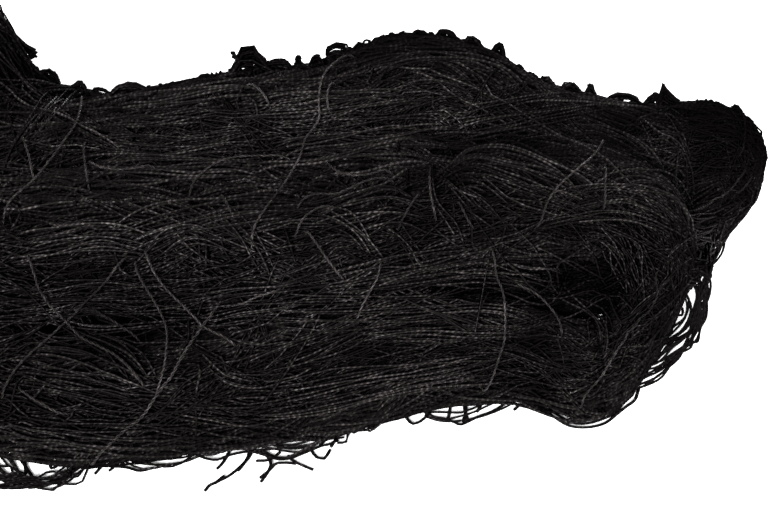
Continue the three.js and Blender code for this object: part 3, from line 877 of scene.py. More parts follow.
# %% Skeins seen over the folds
PHOTO_SKEINS = [
    (10, [(385, 40), (430, 34), (480, 42), (515, 60)], [(372, 72), (430, 66), (480, 72), (520, 92)]),
    (10, [(92, 98), (150, 92), (210, 84), (262, 74)], [(92, 128), (150, 128), (210, 120), (262, 108)]),
    (11, [(90, 130), (150, 136), (205, 132), (265, 118)], [(95, 160), (150, 172), (210, 166), (270, 150)]),
    (9, [(235, 100), (300, 96), (360, 88), (420, 84)], [(245, 128), (310, 124), (370, 112), (430, 106)]),
    (12, [(240, 135), (310, 128), (380, 118), (440, 112)], [(262, 172), (320, 166), (390, 152), (450, 138)]),
    (9, [(300, 150), (350, 146), (400, 142), (445, 160)], [(305, 180), (360, 180), (410, 174), (447, 172)]),
    (10, [(430, 112), (480, 104), (540, 92), (600, 98)], [(440, 140), (490, 140), (550, 128), (610, 112)]),
    (6, [(520, 85), (570, 92), (620, 98), (680, 100)], [(525, 110), (575, 112), (625, 112), (690, 118)]),
    (16, [(530, 205), (565, 188), (610, 180), (655, 192), (690, 228)],
     [(540, 232), (580, 225), (620, 225), (655, 232), (682, 248)]),
    (5, [(600, 168), (640, 168), (675, 185), (700, 215)], [(600, 180), (640, 182), (672, 200), (694, 235)]),
    (7, [(640, 112), (665, 118), (690, 130), (702, 150)], [(640, 128), (660, 140), (678, 152), (690, 165)]),
    (10, [(100, 232), (160, 212), (230, 198), (300, 190)], [(110, 262), (175, 240), (240, 225), (310, 215)]),
    (8, [(130, 185), (190, 200), (250, 225), (300, 250)], [(120, 200), (180, 222), (240, 248), (285, 272)]),
    (10, [(310, 205), (350, 196), (390, 190), (430, 196)], [(320, 240), (360, 232), (395, 228), (432, 232)]),
    (12, [(300, 275), (360, 258), (430, 245), (500, 235)], [(310, 308), (370, 296), (440, 282), (505, 268)]),
    (12, [(185, 300), (230, 290), (290, 282), (340, 275)], [(190, 335), (240, 325), (300, 312), (350, 300)]),
    (12, [(250, 350), (300, 335), (340, 318), (370, 305)], [(250, 385), (310, 365), (350, 345), (380, 328)]),
    (10, [(360, 318), (420, 310), (480, 308), (540, 315)], [(355, 345), (420, 342), (480, 338), (540, 340)]),
    (14, [(250, 395), (330, 375), (410, 360), (500, 350)], [(255, 425), (340, 408), (420, 392), (505, 378)]),
    (14, [(20, 345), (70, 350), (120, 362), (165, 385)], [(10, 385), (60, 395), (110, 405), (155, 415)]),
    (8, [(85, 325), (115, 338), (140, 358), (160, 385)], [(60, 335), (95, 350), (125, 372), (150, 395)]),
    (10, [(150, 390), (190, 398), (240, 402), (290, 395)], [(150, 415), (200, 420), (250, 425), (300, 418)]),
    (9, [(0, 412), (60, 418), (120, 424), (190, 428)], [(0, 440), (60, 444), (130, 448), (200, 446)]),
    (12, [(0, 235), (50, 228), (100, 222), (150, 230)], [(0, 270), (60, 262), (110, 255), (160, 262)]),
    (11, [(0, 300), (50, 280), (100, 275), (160, 285)], [(0, 330), (55, 318), (110, 312), (170, 318)]),
    (12, [(18, 140), (40, 112), (62, 84), (72, 76)], [(36, 142), (54, 116), (76, 88), (84, 80)]),
    (5, [(0, 160), (20, 130), (40, 105)], [(0, 178), (26, 145), (48, 118)]),
    (8, [(30, 150), (60, 158), (100, 158)], [(30, 190), (65, 192), (105, 192)]),
    (12, [(574, 234), (596, 240), (612, 258), (626, 290)], [(640, 236), (652, 256), (660, 280), (664, 310)]),
    (10, [(640, 240), (668, 258), (688, 284), (696, 312)], [(632, 300), (656, 312), (674, 328), (682, 344)]),
    (9, [(704, 262), (684, 290), (656, 318), (624, 346)], [(690, 250), (668, 272), (640, 300), (604, 330)]),
    (7, [(610, 330), (640, 322), (668, 330), (690, 322)], [(600, 356), (632, 352), (660, 352), (684, 340)]),
    (6, [(566, 300), (590, 316), (602, 340), (600, 366)], [(588, 296), (606, 312), (616, 336), (614, 362)]),
    (8, [(498, 246), (525, 243), (550, 248), (572, 258)], [(498, 272), (525, 270), (548, 276), (566, 288)]),
    (11, [(490, 330), (530, 345), (560, 360), (590, 362)], [(500, 372), (535, 378), (565, 388), (595, 392)]),
    (8, [(500, 385), (535, 392), (575, 405), (615, 400)], [(505, 402), (540, 408), (575, 422), (620, 415)]),
    (8, [(600, 395), (640, 360), (675, 320), (690, 290)], [(612, 410), (650, 382), (680, 345), (695, 320)]),
    (6, [(665, 250), (680, 270), (685, 300), (675, 335)], [(685, 245), (695, 270), (696, 300), (688, 335)]),
    (9, [(85, 160), (140, 158), (200, 160), (260, 156)], [(90, 188), (145, 186), (205, 184), (265, 178)]),
    (9, [(40, 300), (90, 308), (150, 306), (205, 300)], [(45, 330), (95, 336), (150, 336), (210, 328)]),
    (7, [(430, 262), (480, 258), (520, 262), (552, 272)], [(430, 285), (480, 284), (520, 288), (550, 298)]),
    (11, [(265, 296), (330, 298), (400, 296), (470, 296)], [(270, 332), (335, 330), (405, 326), (475, 322)]),
    (8, [(395, 284), (440, 300), (480, 318), (520, 332)], [(380, 302), (425, 320), (465, 337), (505, 348)]),
    (8, [(300, 330), (345, 312), (390, 296), (430, 284)], [(312, 345), (356, 330), (400, 312), (440, 300)]),
    (7, [(140, 250), (165, 235), (195, 228), (225, 235)], [(150, 265), (175, 252), (200, 246), (228, 252)]),
    (6, [(210, 215), (235, 235), (250, 260), (262, 285)], [(222, 208), (248, 228), (264, 252), (276, 278)]),
    (7, [(60, 245), (85, 232), (115, 228), (140, 240)], [(66, 262), (90, 250), (115, 246), (138, 256)]),
    (6, [(290, 265), (310, 245), (335, 235), (362, 238)], [(300, 280), (320, 262), (342, 252), (366, 254)]),
    (5, [(312, 214), (336, 226), (358, 244), (376, 268)], [(322, 206), (346, 218), (370, 238), (390, 262)]),
    (6, [(170, 215), (182, 235), (200, 250), (224, 262)], [(160, 225), (172, 246), (192, 262), (216, 275)]),
    (6, [(30, 205), (55, 215), (80, 212), (105, 200)], [(34, 222), (58, 232), (84, 228), (108, 216)]),
    (6, [(395, 215), (410, 240), (430, 258), (456, 266)], [(384, 225), (400, 250), (420, 270), (448, 280)]),
    (6, [(20, 320), (45, 335), (75, 335), (100, 322)], [(24, 336), (48, 350), (76, 350), (104, 338)]),
    (6, [(205, 345), (225, 365), (250, 375), (280, 370)], [(196, 356), (216, 378), (244, 390), (276, 386)]),
    (13, [(556, 110), (600, 122), (640, 140), (674, 172)], [(566, 140), (604, 152), (642, 172), (668, 202)]),
    (12, [(598, 232), (604, 250), (612, 268), (622, 286)], [(642, 226), (644, 246), (646, 264), (652, 282)]),
    (10, [(698, 222), (684, 236), (668, 252), (660, 270)], [(706, 262), (694, 272), (682, 286), (674, 304)]),
    (8, [(640, 262), (662, 276), (680, 296), (690, 322)], [(628, 282), (650, 300), (664, 322), (670, 350)]),
    (7, [(664, 300), (650, 322), (634, 340), (612, 352)], [(684, 318), (668, 340), (648, 360), (624, 374)]),
]
print(len(PHOTO_SKEINS), "skeins over the folds")

# %% [markdown]
# A few skeins fan out above the front right fold, some pass the right side of the bundle, and some lie on the
# floor in front of it. They are listed apart, because they lie higher or reach beyond the form.

# %% Skeins that fan out, hang at the side and lie on the floor
FAN_SKEINS = [
    (18, [(438, 170), (468, 157), (506, 153), (552, 166), (592, 186)],
     [(440, 177), (475, 184), (512, 198), (552, 212), (588, 220)]),
    (11, [(438, 173), (464, 180), (494, 194), (524, 206)], [(440, 180), (456, 197), (474, 217), (494, 234)]),
    (3, [(436, 178), (448, 198), (462, 220), (478, 246)], [(430, 180), (436, 204), (446, 228), (460, 254)]),
    (8, [(600, 176), (640, 172), (672, 186), (694, 216)], [(604, 196), (640, 194), (668, 208), (686, 240)]),
    (8, [(640, 108), (664, 116), (688, 130), (702, 152)], [(636, 124), (656, 138), (674, 152), (688, 170)]),
]
SIDE_SKEINS = [
    (20, [(664, 218), (690, 210), (712, 204), (740, 200)], [(668, 246), (690, 250), (706, 250), (722, 240)]),
    (34, [(676, 222), (694, 224), (708, 226), (724, 224)], [(676, 266), (692, 268), (704, 266), (714, 254)]),
    (26, [(670, 238), (692, 244), (706, 246), (718, 240)], [(670, 292), (688, 292), (700, 286), (706, 272)]),
]
FLOOR_SKEINS = [
    (15, [(-20, 474), (0, 476), (16, 477), (34, 478), (50, 478), (62, 474), (71, 467), (78, 457), (92, 444)],
     [(-20, 485), (0, 486), (14, 487), (32, 488), (54, 487), (68, 482), (82, 475), (94, 463), (108, 446)]),
    (9, [(-20, 436), (-2, 446), (10, 458), (20, 472)], [(-30, 480), (-14, 479), (0, 480), (12, 482)]),
    (5, [(258, 441), (278, 447), (300, 448), (320, 438), (338, 426)],
     [(262, 450), (282, 459), (304, 454), (326, 445), (342, 434)]),
    (3, [(428, 410), (446, 415), (466, 415), (490, 406), (514, 396)],
     [(424, 414), (446, 421), (468, 422), (494, 412), (518, 399)]),
    (4, [(110, 452), (140, 462), (170, 462), (200, 452)], [(106, 460), (140, 470), (175, 467), (205, 456)]),
]
print(len(FAN_SKEINS + SIDE_SKEINS + FLOOR_SKEINS), "more skeins")

# %% [markdown]
# The strands of a skein keep their order but not their distance, and they start and end unevenly. Each could
# be traced, but there are more than six hundred, so chance moves every spot by a few pixels instead.

# %% Laid skeins
SKEIN_REACH = 25.0
SKEIN_STRAY = 3.0
PLACE_SHARE = (0.2, 0.8)
HEIGHT_STRAY = 0.5
LAID_SPREAD = 0.45
SKEIN_KINDS = (
    (PHOTO_SKEINS, None, (0.4, 1.6)),
    (FAN_SKEINS, None, (1.6, 2.2)),
    (SIDE_SKEINS, "side", (0.8, 1.6)),
    (FLOOR_SKEINS, "floor", (0.4, 1.6)),
)


def laid_skein(count, upper, lower, beyond, heights):
    """The strands of one skein between two lines in the photograph."""
    upper, lower = np.array(upper, float), np.array(lower, float)
    height = rng.uniform(*heights)
    for place in range(count):
        share = (place + rng.uniform(*PLACE_SHARE)) / count
        ends = (0, 0)
        if beyond is None:
            ends = np.clip(rng.normal(0, SKEIN_REACH / 2, 2), -SKEIN_REACH, SKEIN_REACH)
        pixels = upper * (1 - share) + lower * share + rng.normal(0, SKEIN_STRAY, upper.shape)
        pixels[0] += unit(pixels[0] - pixels[1]) * ends[0]
        pixels[-1] += unit(pixels[-1] - pixels[-2]) * ends[1]
        strand = draped(pixels, height + rng.normal(0, HEIGHT_STRAY), beyond)
        if strand:
            yield strand


laid_strands = []
for skeins, beyond, heights in SKEIN_KINDS:
    for skein in skeins:
        laid_strands += laid_skein(*skein, beyond, heights)
add_twine("laid_skeins", laid_strands, chance_tones(len(laid_strands), 1.0, LAID_SPREAD), black_twine)

# %% [markdown]
# ## Single strands at the edges
# Along the front, strands have slipped out onto the floor, and others hang in loops round the front right
# fold. Those on the floor show one by one against it, so each row below is one of them, as spots in the
# photograph, and it is laid exactly there.

# %% Fringe on the floor
FRINGE = [
    [(186, 452), (197, 457), (208, 461), (218, 462), (228, 458), (240, 455), (252, 454), (264, 457),
     (276, 461), (288, 461), (300, 457), (314, 451), (326, 446), (338, 440)],
    [(190, 450), (200, 456), (212, 457), (224, 453), (234, 448)],
    [(258, 440), (275, 447), (295, 450), (312, 446), (326, 438), (338, 428)],
    [(230, 450), (226, 458), (222, 464), (217, 469)],
    [(250, 446), (248, 457), (243, 465), (238, 471)],
    [(264, 450), (269, 459), (271, 467), (266, 475), (261, 482)],
    [(296, 464), (284, 463), (276, 465), (270, 470), (260, 478)],
    [(256, 461), (264, 461), (272, 459), (280, 452)],
    [(254, 448), (246, 462), (236, 472), (226, 479), (216, 483), (210, 485), (205, 491)],
    [(224, 476), (218, 481), (213, 484), (209, 486)],
    [(288, 456), (297, 464), (306, 467), (313, 470)],
    [(310, 448), (317, 458), (324, 459), (330, 450)],
    [(312, 446), (321, 438), (331, 428)],
    [(320, 446), (328, 436), (336, 424)],
    [(331, 447), (336, 438), (340, 426)],
    [(337, 443), (346, 442), (348, 430), (350, 420)],
    [(344, 424), (352, 430), (364, 424), (378, 416)],
    [(402, 412), (408, 421), (413, 425), (420, 422), (430, 413)],
    [(424, 412), (436, 418), (447, 421), (455, 424), (460, 426), (468, 423), (478, 418), (490, 414),
     (502, 407), (514, 398)],
    [(450, 394), (450, 408), (448, 419)],
    [(462, 392), (464, 408), (468, 421)],
    [(466, 394), (466, 410), (463, 422)],
    [(480, 392), (482, 402), (477, 412)],
    [(530, 396), (522, 403), (514, 410)],
    [(518, 396), (532, 404), (545, 412), (556, 420), (568, 427), (580, 429), (594, 428), (606, 424),
     (616, 416), (626, 408), (634, 402), (639, 388)],
    [(556, 414), (574, 424), (588, 424), (602, 420), (614, 414), (624, 402)],
    [(562, 412), (580, 420), (594, 419), (606, 414), (622, 400)],
    [(0, 442), (12, 454), (22, 463), (32, 476)],
    [(24, 446), (25, 458), (26, 474)],
    [(46, 450), (50, 464), (52, 470), (60, 466), (72, 454)],
    [(90, 456), (100, 466), (112, 467), (126, 468), (140, 471), (154, 468)],
    [(112, 458), (101, 467), (95, 474)],
    [(120, 460), (114, 467), (109, 471)],
]
HUNG_REACH, HUNG_STEP = 6.0, 4.0
HUNG_TONE, HUNG_SPREAD = 0.4, 0.5


def add_hung(name, strands, beyond, copies, stray, heights, radius):
    """A piece of single strands on the floor or beside the form, each copied a few times."""
    hung = []
    for pixels in strands:
        for _ in range(copies):
            spots = np.array(pixels) + rng.normal(0, stray, (len(pixels), 2))
            hung.append(draped(spots, rng.uniform(*heights), beyond, HUNG_REACH, HUNG_STEP))
    add_twine(name, hung, chance_tones(len(hung), HUNG_TONE, HUNG_SPREAD), black_twine, radius, sides=4)


add_hung("fringe", FRINGE, "floor", 1, 0, (0.3, 1.2), FRINGE_RADIUS)

# %% [markdown]
# The loops round the fold are finer and come in threes, a couple of pixels apart, because single ones would
# look like rubber bands there.

# %% Loops round the fold
FOLD_LOOPS = [
    [(708, 250), (712, 264), (705, 280), (703, 296), (703, 315), (700, 328), (695, 338), (688, 345),
     (680, 353), (668, 365), (655, 377), (640, 387), (626, 392)],
    [(702, 258), (706, 272), (701, 288), (700, 305), (698, 322), (690, 338), (676, 352), (660, 366),
     (642, 380), (624, 388)],
    [(694, 266), (700, 282), (697, 300), (695, 318), (687, 333), (671, 346), (655, 358), (638, 370),
     (622, 380)],
    [(686, 276), (695, 290), (692, 312), (682, 328), (665, 342), (650, 354), (634, 364)],
    [(690, 262), (704, 276), (706, 292), (701, 310), (696, 326), (684, 340), (666, 356), (646, 372)],
    [(676, 286), (688, 300), (686, 318), (674, 332), (656, 346), (640, 356)],
    [(720, 232), (718, 246), (711, 262), (700, 272), (686, 280)],
    [(732, 214), (726, 232), (716, 250), (704, 262), (690, 268)],
]
FOLD_LOOP_RADIUS = 0.34
add_hung("fold_loops", FOLD_LOOPS, "side", 3, 2.0, (-0.2, 0.7), FOLD_LOOP_RADIUS)

# %% [markdown]
# ## Skeins on all sides
# Skeins were pulled out on the sides that the photograph doesn't show as well. There they wander: each starts
# somewhere on the band, roughly along it, and walks over the form in small steps.

# %% Walking over the form
WALK_STEP = 4.5
WALK_DRIFT = 0.08
BAND_END = 4


def chance_start():
    """A station of the band and a spot on its surface there, both by chance."""
    station = rng.integers(BAND_END, station_count - BAND_END)
    around, _ = on_band(np.full((1, station_count), rng.uniform(0, 2 * np.pi)), np.zeros((1, station_count)))
    return station, around[0, station]


def walk(start, heading, steps, turn):
    """Points, normals and headings of a path over the form, with a steady turn and some drift."""
    walked = []
    point = Vector(start) * MM
    for _ in range(steps):
        spot, normal, _, _ = drape.find_nearest(point)
        heading = (heading - normal * heading.dot(normal)).normalized()
        heading = (heading + normal.cross(heading) * (turn + rng.normal(0, WALK_DRIFT))).normalized()
        walked.append((np.array(spot) / MM, np.array(normal), np.array(heading)))
        point = spot + heading * (WALK_STEP * MM)
    return (np.array(part) for part in zip(*walked))


def settle(points, lift):
    """Moves points onto the form, some height over it. Gives the path and its outward directions."""
    spots, out = (np.array(part) for part in zip(*(drape.find_nearest(Vector(p) * MM)[:2] for p in points)))
    path = spots / MM + out * lift[:, None]
    path[:, 2] = np.maximum(path[:, 2], TWINE_RADIUS)
    return path, out


print("walks in steps of", WALK_STEP, "mm")

# %% [markdown]
# A few strands walk side by side and swing across the skein below. Beside the front right fold the photograph
# shows a deep recess, so strands that come near it are dropped.

# %% Wandering skeins
WANDER_SKEINS = 260
WANDER_STEPS, WANDER_TURN = (14, 28), 0.012
WANDER_STRANDS, WANDER_SPACING = (3, 7), 1.5
WANDER_HEIGHTS, WANDER_HEIGHT_STRAY = (0.1, 0.9), 0.3
SWING, SWING_STRAY, LARGEST_SWING = 0.3, 0.13, 0.9
SIDE_DRIFT = 2.8
MOST_CUT = 5
WANDER_TONE, WANDER_SPREAD = 0.5, 0.6
RECESS_PIXEL, RECESS_SIZE = (612, 292), 12.0
recess, _ = laid_at(*RECESS_PIXEL, "floor")


def wandering_skein():
    """The strands of one skein that walks over the form."""
    station, start = chance_start()
    heading = Vector(along[station]) * rng.choice([-1, 1])
    steps = rng.integers(*WANDER_STEPS)
    spots, normals, headings = walk(start, heading, steps, rng.normal(0, WANDER_TURN))
    sideways = np.cross(normals, headings)
    swing = np.clip(rng.normal(0, SWING), -LARGEST_SWING, LARGEST_SWING)
    count = rng.integers(*WANDER_STRANDS)
    height = rng.uniform(*WANDER_HEIGHTS)
    from_middle = (np.arange(steps) - steps / 2) * WALK_STEP
    for place in range(count):
        drift = smoothed(rng.normal(0, SIDE_DRIFT, steps + WINDOW - 1))
        slope = math.tan(swing + rng.normal(0, SWING_STRAY))
        offset = (place - count / 2) * WANDER_SPACING + from_middle * slope + drift
        low, high = rng.integers(0, MOST_CUT), steps - rng.integers(0, MOST_CUT)
        run = np.arange(high - low) * WALK_STEP
        lift = dipping(height + rng.normal(0, WANDER_HEIGHT_STRAY), run, DIVE)
        path, out = settle((spots + sideways * offset[:, None])[low:high], lift)
        if np.linalg.norm(path - recess, axis=1).min() > RECESS_SIZE:
            yield path, out


wandering = [strand for _ in range(WANDER_SKEINS) for strand in wandering_skein()]
wandering_tones = chance_tones(len(wandering), WANDER_TONE, WANDER_SPREAD)
add_twine("wandering_skeins", wandering, wandering_tones, black_twine)

# %% [markdown]
# ## Slack
# Everywhere a strand has a little slack it stands up in a small loop. These are what make the outline ragged.
# They could be hair on the form, but a hair has a free end, and these go back in at both ends. There are long
# flat loops, snarled ones that run every way, and short ones close together along the photograph's top edge.

# %% Slack loops
SLACK_LOOPS, SNARLS = 380, 180
EDGE_PIXELS = range(36, 756, 2)
EDGE_STRAY = 0.6
SLACK = ((10, 24), (0.4, 0.3, math.inf), 0.5)
SNARL = ((8, 18), (0.3, 0.5, math.inf), 1.2)
EDGE_LOOP = ((1.5, 5), (0.5, 0.2, 1.2), 0.8)
SLACK_TILT = 0.6
SLACK_WAVE, SLACK_BOW = 0.16, 0.3
SLACK_ROOT, SLACK_FULLNESS = 2, 0.8
LOWEST_SEAT = -0.3
arc = np.linspace(0, 1, 8)


def top_edge(x):
    """The spot on the form where its outline in the photograph is highest, above a given x."""
    return next(laid for laid in (laid_at(x, y) for y in range(PHOTO_HEIGHT)) if laid)[0]


def slack(middle, lengths, rises, stray):
    """A short length of twine that stands up from the form, roughly along the bundle, and goes back in. Rises
    are the usual rise over the least, the least, and the most over the least, in mm."""
    length = rng.uniform(*lengths)
    usual, least, most = rises
    rise = min(rng.exponential(usual), most) + least
    spot, normal, _, _ = drape.find_nearest(Vector(middle) * MM)
    heading = np.array([1, rng.normal(0, stray), rng.normal(0, SLACK_TILT * stray)])
    heading = unit(np.cross(normal, np.cross(heading, normal)))
    sideways = np.cross(normal, heading)
    wave = rng.normal(0, SLACK_WAVE) * np.sin(2 * np.pi * arc)
    bow = length * (wave + rng.normal(0, SLACK_BOW) * np.sin(np.pi * arc))
    track = np.array(spot) / MM + heading * ((arc - 0.5) * length)[:, None] + sideways * bow[:, None]
    return settle(track, (rise + SLACK_ROOT) * np.sin(np.pi * arc) ** SLACK_FULLNESS - SLACK_ROOT)


seat_area = np.array([p.area if p.normal.z > LOWEST_SEAT else 0 for p in form_mesh.polygons])
chosen = rng.choice(len(seat_area), SLACK_LOOPS + SNARLS, p=seat_area / seat_area.sum())
seats = [np.array(form_mesh.polygons[face].center) / MM for face in chosen]
loops = [slack(seat, *SLACK) for seat in seats[:SLACK_LOOPS]]
loops += [slack(seat, *SNARL) for seat in seats[SLACK_LOOPS:]]
loops += [slack(top_edge(x) + rng.normal(0, EDGE_STRAY, 3), *EDGE_LOOP) for x in EDGE_PIXELS]
print(len(loops), "slack loops")

# %% [markdown]
# Along the top some slack has bunched up into tufts that break the outline: small folds of a few strands that
# stand over the edge. Each row below is one tuft, with the number of its loops and its outline in the
# photograph. The loops are nested inside that outline, and stand a little in front of and behind each other.

# %% Tufts along the top
TUFTS = [
    (14, [(2, 22), (10, 30), (24, 43), (36, 51), (28, 55), (30, 64)]),
    (10, [(38, 76), (43, 70), (51, 69), (57, 76), (60, 86)]),
    (12, [(68, 92), (73, 84), (80, 80), (85, 87), (88, 96)]),
    (6, [(90, 96), (97, 88), (104, 89), (112, 96)]),
    (14, [(110, 96), (116, 86), (132, 82), (142, 86), (154, 94)]),
    (10, [(160, 94), (170, 83), (180, 84), (192, 92)]),
    (8, [(192, 90), (199, 79), (206, 82), (214, 78), (220, 88)]),
    (34, [(226, 80), (233, 68), (238, 57), (241, 48), (253, 46), (257, 52), (263, 59), (272, 72)]),
    (2, [(240, 66), (236, 57), (231, 49), (235, 51), (239, 60)]),
    (16, [(260, 72), (268, 61), (278, 60), (286, 60), (292, 72)]),
    (6, [(298, 70), (297, 60), (295, 57), (298, 55), (301, 57), (300, 62), (299, 70)]),
    (12, [(306, 72), (312, 58), (315, 54), (319, 55), (322, 60), (328, 70)]),
    (22, [(334, 70), (334, 56), (327, 51), (328, 46), (336, 43), (344, 44), (349, 52), (354, 64)]),
    (12, [(348, 64), (355, 48), (361, 43), (365, 47), (370, 60)]),
    (20, [(372, 54), (381, 38), (388, 39), (396, 50)]),
    (20, [(388, 50), (394, 36), (406, 32), (409, 46)]),
    (20, [(411, 46), (415, 32), (420, 30), (434, 40)]),
    (20, [(432, 42), (440, 31), (447, 29), (452, 34), (464, 44)]),
    (20, [(462, 46), (469, 36), (476, 39), (484, 50)]),
    (20, [(488, 60), (496, 46), (500, 43), (503, 50), (506, 64)]),
    (4, [(506, 72), (514, 66), (521, 63), (524, 72)]),
    (20, [(514, 84), (521, 77), (527, 73), (533, 73), (540, 84)]),
    (20, [(538, 86), (546, 77), (552, 82), (558, 92)]),
    (20, [(560, 94), (568, 83), (575, 85), (582, 96)]),
    (20, [(582, 100), (587, 90), (590, 84), (594, 92), (599, 102)]),
    (8, [(604, 104), (612, 95), (634, 96), (642, 106)]),
    (20, [(644, 106), (652, 95), (657, 92), (662, 104)]),
    (18, [(654, 110), (660, 96), (663, 84), (667, 90), (674, 97), (686, 110)]),
    (6, [(657, 108), (661, 98), (664, 91), (669, 106)]),
    (20, [(688, 114), (696, 104), (704, 102), (714, 112)]),
    (14, [(724, 118), (731, 109), (737, 106), (742, 112), (748, 124)]),
]
TUFT_DEPTH = 1.3
TUFT_STRAY, TUFT_CRINKLE = 0.8, 0.7
NESTING = (0.1, 1)
LOOP_RADIUS = 0.45
SEAT_TONE, EDGE_TONE, LOOP_SPREAD = 0.38, 0.15, 0.6


def facing_point(x, y, near):
    """The spot on the sight line through a pixel that is as far away as a given point, in mm."""
    direction = sight_line(x, y)
    away = towards.dot(Vector(near) * MM - eye) / towards.dot(direction)
    return np.array(eye + direction * away) / MM


for count, outline in TUFTS:
    outline = np.array(outline, float)
    foot = np.interp(outline[:, 0], outline[[0, -1], 0], outline[[0, -1], 1])
    rim = top_edge(outline[:, 0].mean())
    for _ in range(count):
        pixels = outline + rng.normal(0, TUFT_STRAY, outline.shape)
        pixels[:, 1] = foot + (outline[:, 1] - foot) * math.sqrt(rng.uniform(*NESTING))
        track = spline(pixels, np.linspace(0, len(pixels) - 1, len(arc)))
        track = track + rng.normal(0, TUFT_CRINKLE, track.shape)
        near = rim - np.array(towards) * rng.normal(0, TUFT_DEPTH)
        path = np.array([facing_point(x, y, near) for x, y in track])
        loops.append((path, np.tile(-np.array(towards), (len(track), 1))))
print(sum(count for count, _ in TUFTS), "loops in", len(TUFTS), "tufts")
usual_tones = np.where(np.arange(len(loops)) < len(seats), SEAT_TONE, EDGE_TONE)
add_twine("slack_loops", loops, chance_tones(len(loops), usual_tones, LOOP_SPREAD), black_twine, LOOP_RADIUS)

# %% [markdown]
# ## Loose strands
# The strands on top that lie apart from the others show what the twine is: two plies twisted together. On
# these few a bump wouldn't do, so they are made of real plies, each a thin tube that winds around the
# strand's middle line. Each row below is one strand in the photograph. One is thicker than the rest.

# %% Loose strands seen in the photograph
LOOSE_STRANDS = [
    [(0, 406), (19, 373), (41, 350), (69, 322), (87, 301), (107, 281), (130, 253)],
    [(24, 250), (33, 265), (41, 286), (51, 302), (68, 322), (82, 339), (122, 365), (150, 393)],
    [(89, 305), (110, 319), (128, 332), (143, 344)],
    [(143, 245), (153, 268), (163, 283), (179, 300), (194, 316), (204, 328), (219, 337), (242, 350)],
    [(134, 258), (139, 273), (153, 296), (161, 311), (168, 332), (167, 357), (163, 378), (153, 398)],
    [(222, 307), (240, 304), (263, 293), (288, 287)],
    [(15, 383), (36, 397), (54, 406), (74, 418)],
    [(83, 89), (83, 110), (77, 130), (66, 145), (51, 166), (36, 186), (15, 204), (0, 222)],
    [(87, 138), (85, 150), (87, 173), (89, 191)],
    [(88, 158), (94, 170), (107, 176), (122, 178), (139, 176), (163, 168)],
    [(20, 133), (28, 150), (33, 168), (34, 184)],
    [(360, 55), (339, 68), (324, 82), (319, 102), (319, 122), (306, 143), (301, 163), (286, 189),
     (268, 212), (255, 232), (251, 255)],
    [(339, 79), (329, 94), (328, 110), (334, 120)],
    [(186, 199), (204, 179), (219, 168), (237, 163), (270, 162), (298, 162)],
    [(324, 163), (334, 176), (352, 182), (370, 181), (400, 173)],
    [(240, 84), (255, 92), (265, 100), (272, 112)],
    [(291, 212), (314, 201), (339, 199), (362, 189), (398, 179)],
    [(293, 240), (303, 224), (321, 212), (342, 207)],
    [(303, 227), (316, 245), (332, 265), (347, 283)],
    [(217, 191), (227, 209), (237, 222)],
    [(603, 143), (595, 158), (577, 173), (557, 189), (544, 204), (538, 222), (534, 232)],
    [(734, 114), (739, 122), (741, 136), (739, 150), (737, 162)],
    [(752, 166), (745, 178), (737, 190), (728, 198)],
    [(746, 161), (735, 176), (723, 189), (707, 196), (696, 207), (691, 217)],
    [(604, 163), (601, 191), (603, 217)],
    [(432, 163), (430, 191), (434, 214), (438, 227)],
    [(455, 194), (465, 217), (478, 235)],
    [(423, 189), (414, 204), (401, 222), (399, 230)],
    [(661, 263), (656, 278), (656, 293), (649, 309), (633, 327), (621, 342), (610, 357), (598, 375),
     (585, 390), (577, 411)],
    [(493, 245), (493, 270), (500, 290), (504, 322), (503, 342), (498, 357), (490, 375), (480, 393)],
    [(383, 253), (375, 273), (365, 291), (357, 311), (355, 327)],
    [(513, 281), (531, 291), (544, 304), (557, 324), (564, 342)],
]
THICK_STRAND = [
    (222, 300), (212, 316), (204, 328), (194, 344), (181, 365), (171, 380), (158, 395), (143, 413),
    (122, 429), (107, 440), (94, 454), (82, 464),
]
print(len(LOOSE_STRANDS) + 1, "loose strands in the photograph")

# %% [markdown]
# A ply is a helix. It could be a Screw modifier on a circle, but that can't follow a bent line, so the points
# are worked out around the strand's middle, the same number in every turn.

# %% Plies of a strand
PLY_POINTS = 8
PLY_OFFSET = 0.42
THICKER = 1.4
LOOSE_HEIGHTS, LOOSE_REACH = (2.0, 2.8), 5.0
LOOSE_TONES = (1.3, 2.0)


def plied(path, out, radius):
    """The plies of one strand, as paths and outward directions."""
    run = length_along(path)
    count = int(run[-1] / LAY * PLY_POINTS)
    places = np.interp(np.linspace(0, run[-1], count), run, np.arange(len(path)))
    middle = spline(path, places)
    forward = unit(np.gradient(middle, axis=0))
    aside = unit(np.cross(forward, spline(out, places, PLAIN_TENSION)))
    upward = np.cross(aside, forward)
    turn = 2 * np.pi * np.arange(count)[:, None] / PLY_POINTS
    for ply in range(PLIES):
        ply_turn = turn + 2 * np.pi * ply / PLIES
        way = upward * np.cos(ply_turn) + aside * np.sin(ply_turn)
        yield middle + way * (radius * PLY_OFFSET), way


def ply_tones(plies, tones):
    """A brightness for each ply, the same for both plies of a strand."""
    return rng.uniform(*tones, len(plies) // PLIES).repeat(PLIES)


routes = [(pixels, TWINE_RADIUS) for pixels in LOOSE_STRANDS]
routes.append((THICK_STRAND, THICKER * TWINE_RADIUS))
seen_plies = []
for pixels, radius in routes:
    seen_plies += plied(*draped(pixels, rng.uniform(*LOOSE_HEIGHTS), reach=LOOSE_REACH), radius)
seen_tones = ply_tones(seen_plies, LOOSE_TONES)
print(len(seen_plies), "plies")

# %% [markdown]
# The other sides have loose strands as well. They are walked over the form like the wandering skeins, and
# only those are kept that stay on the far side of the bundle or past the left of the picture.

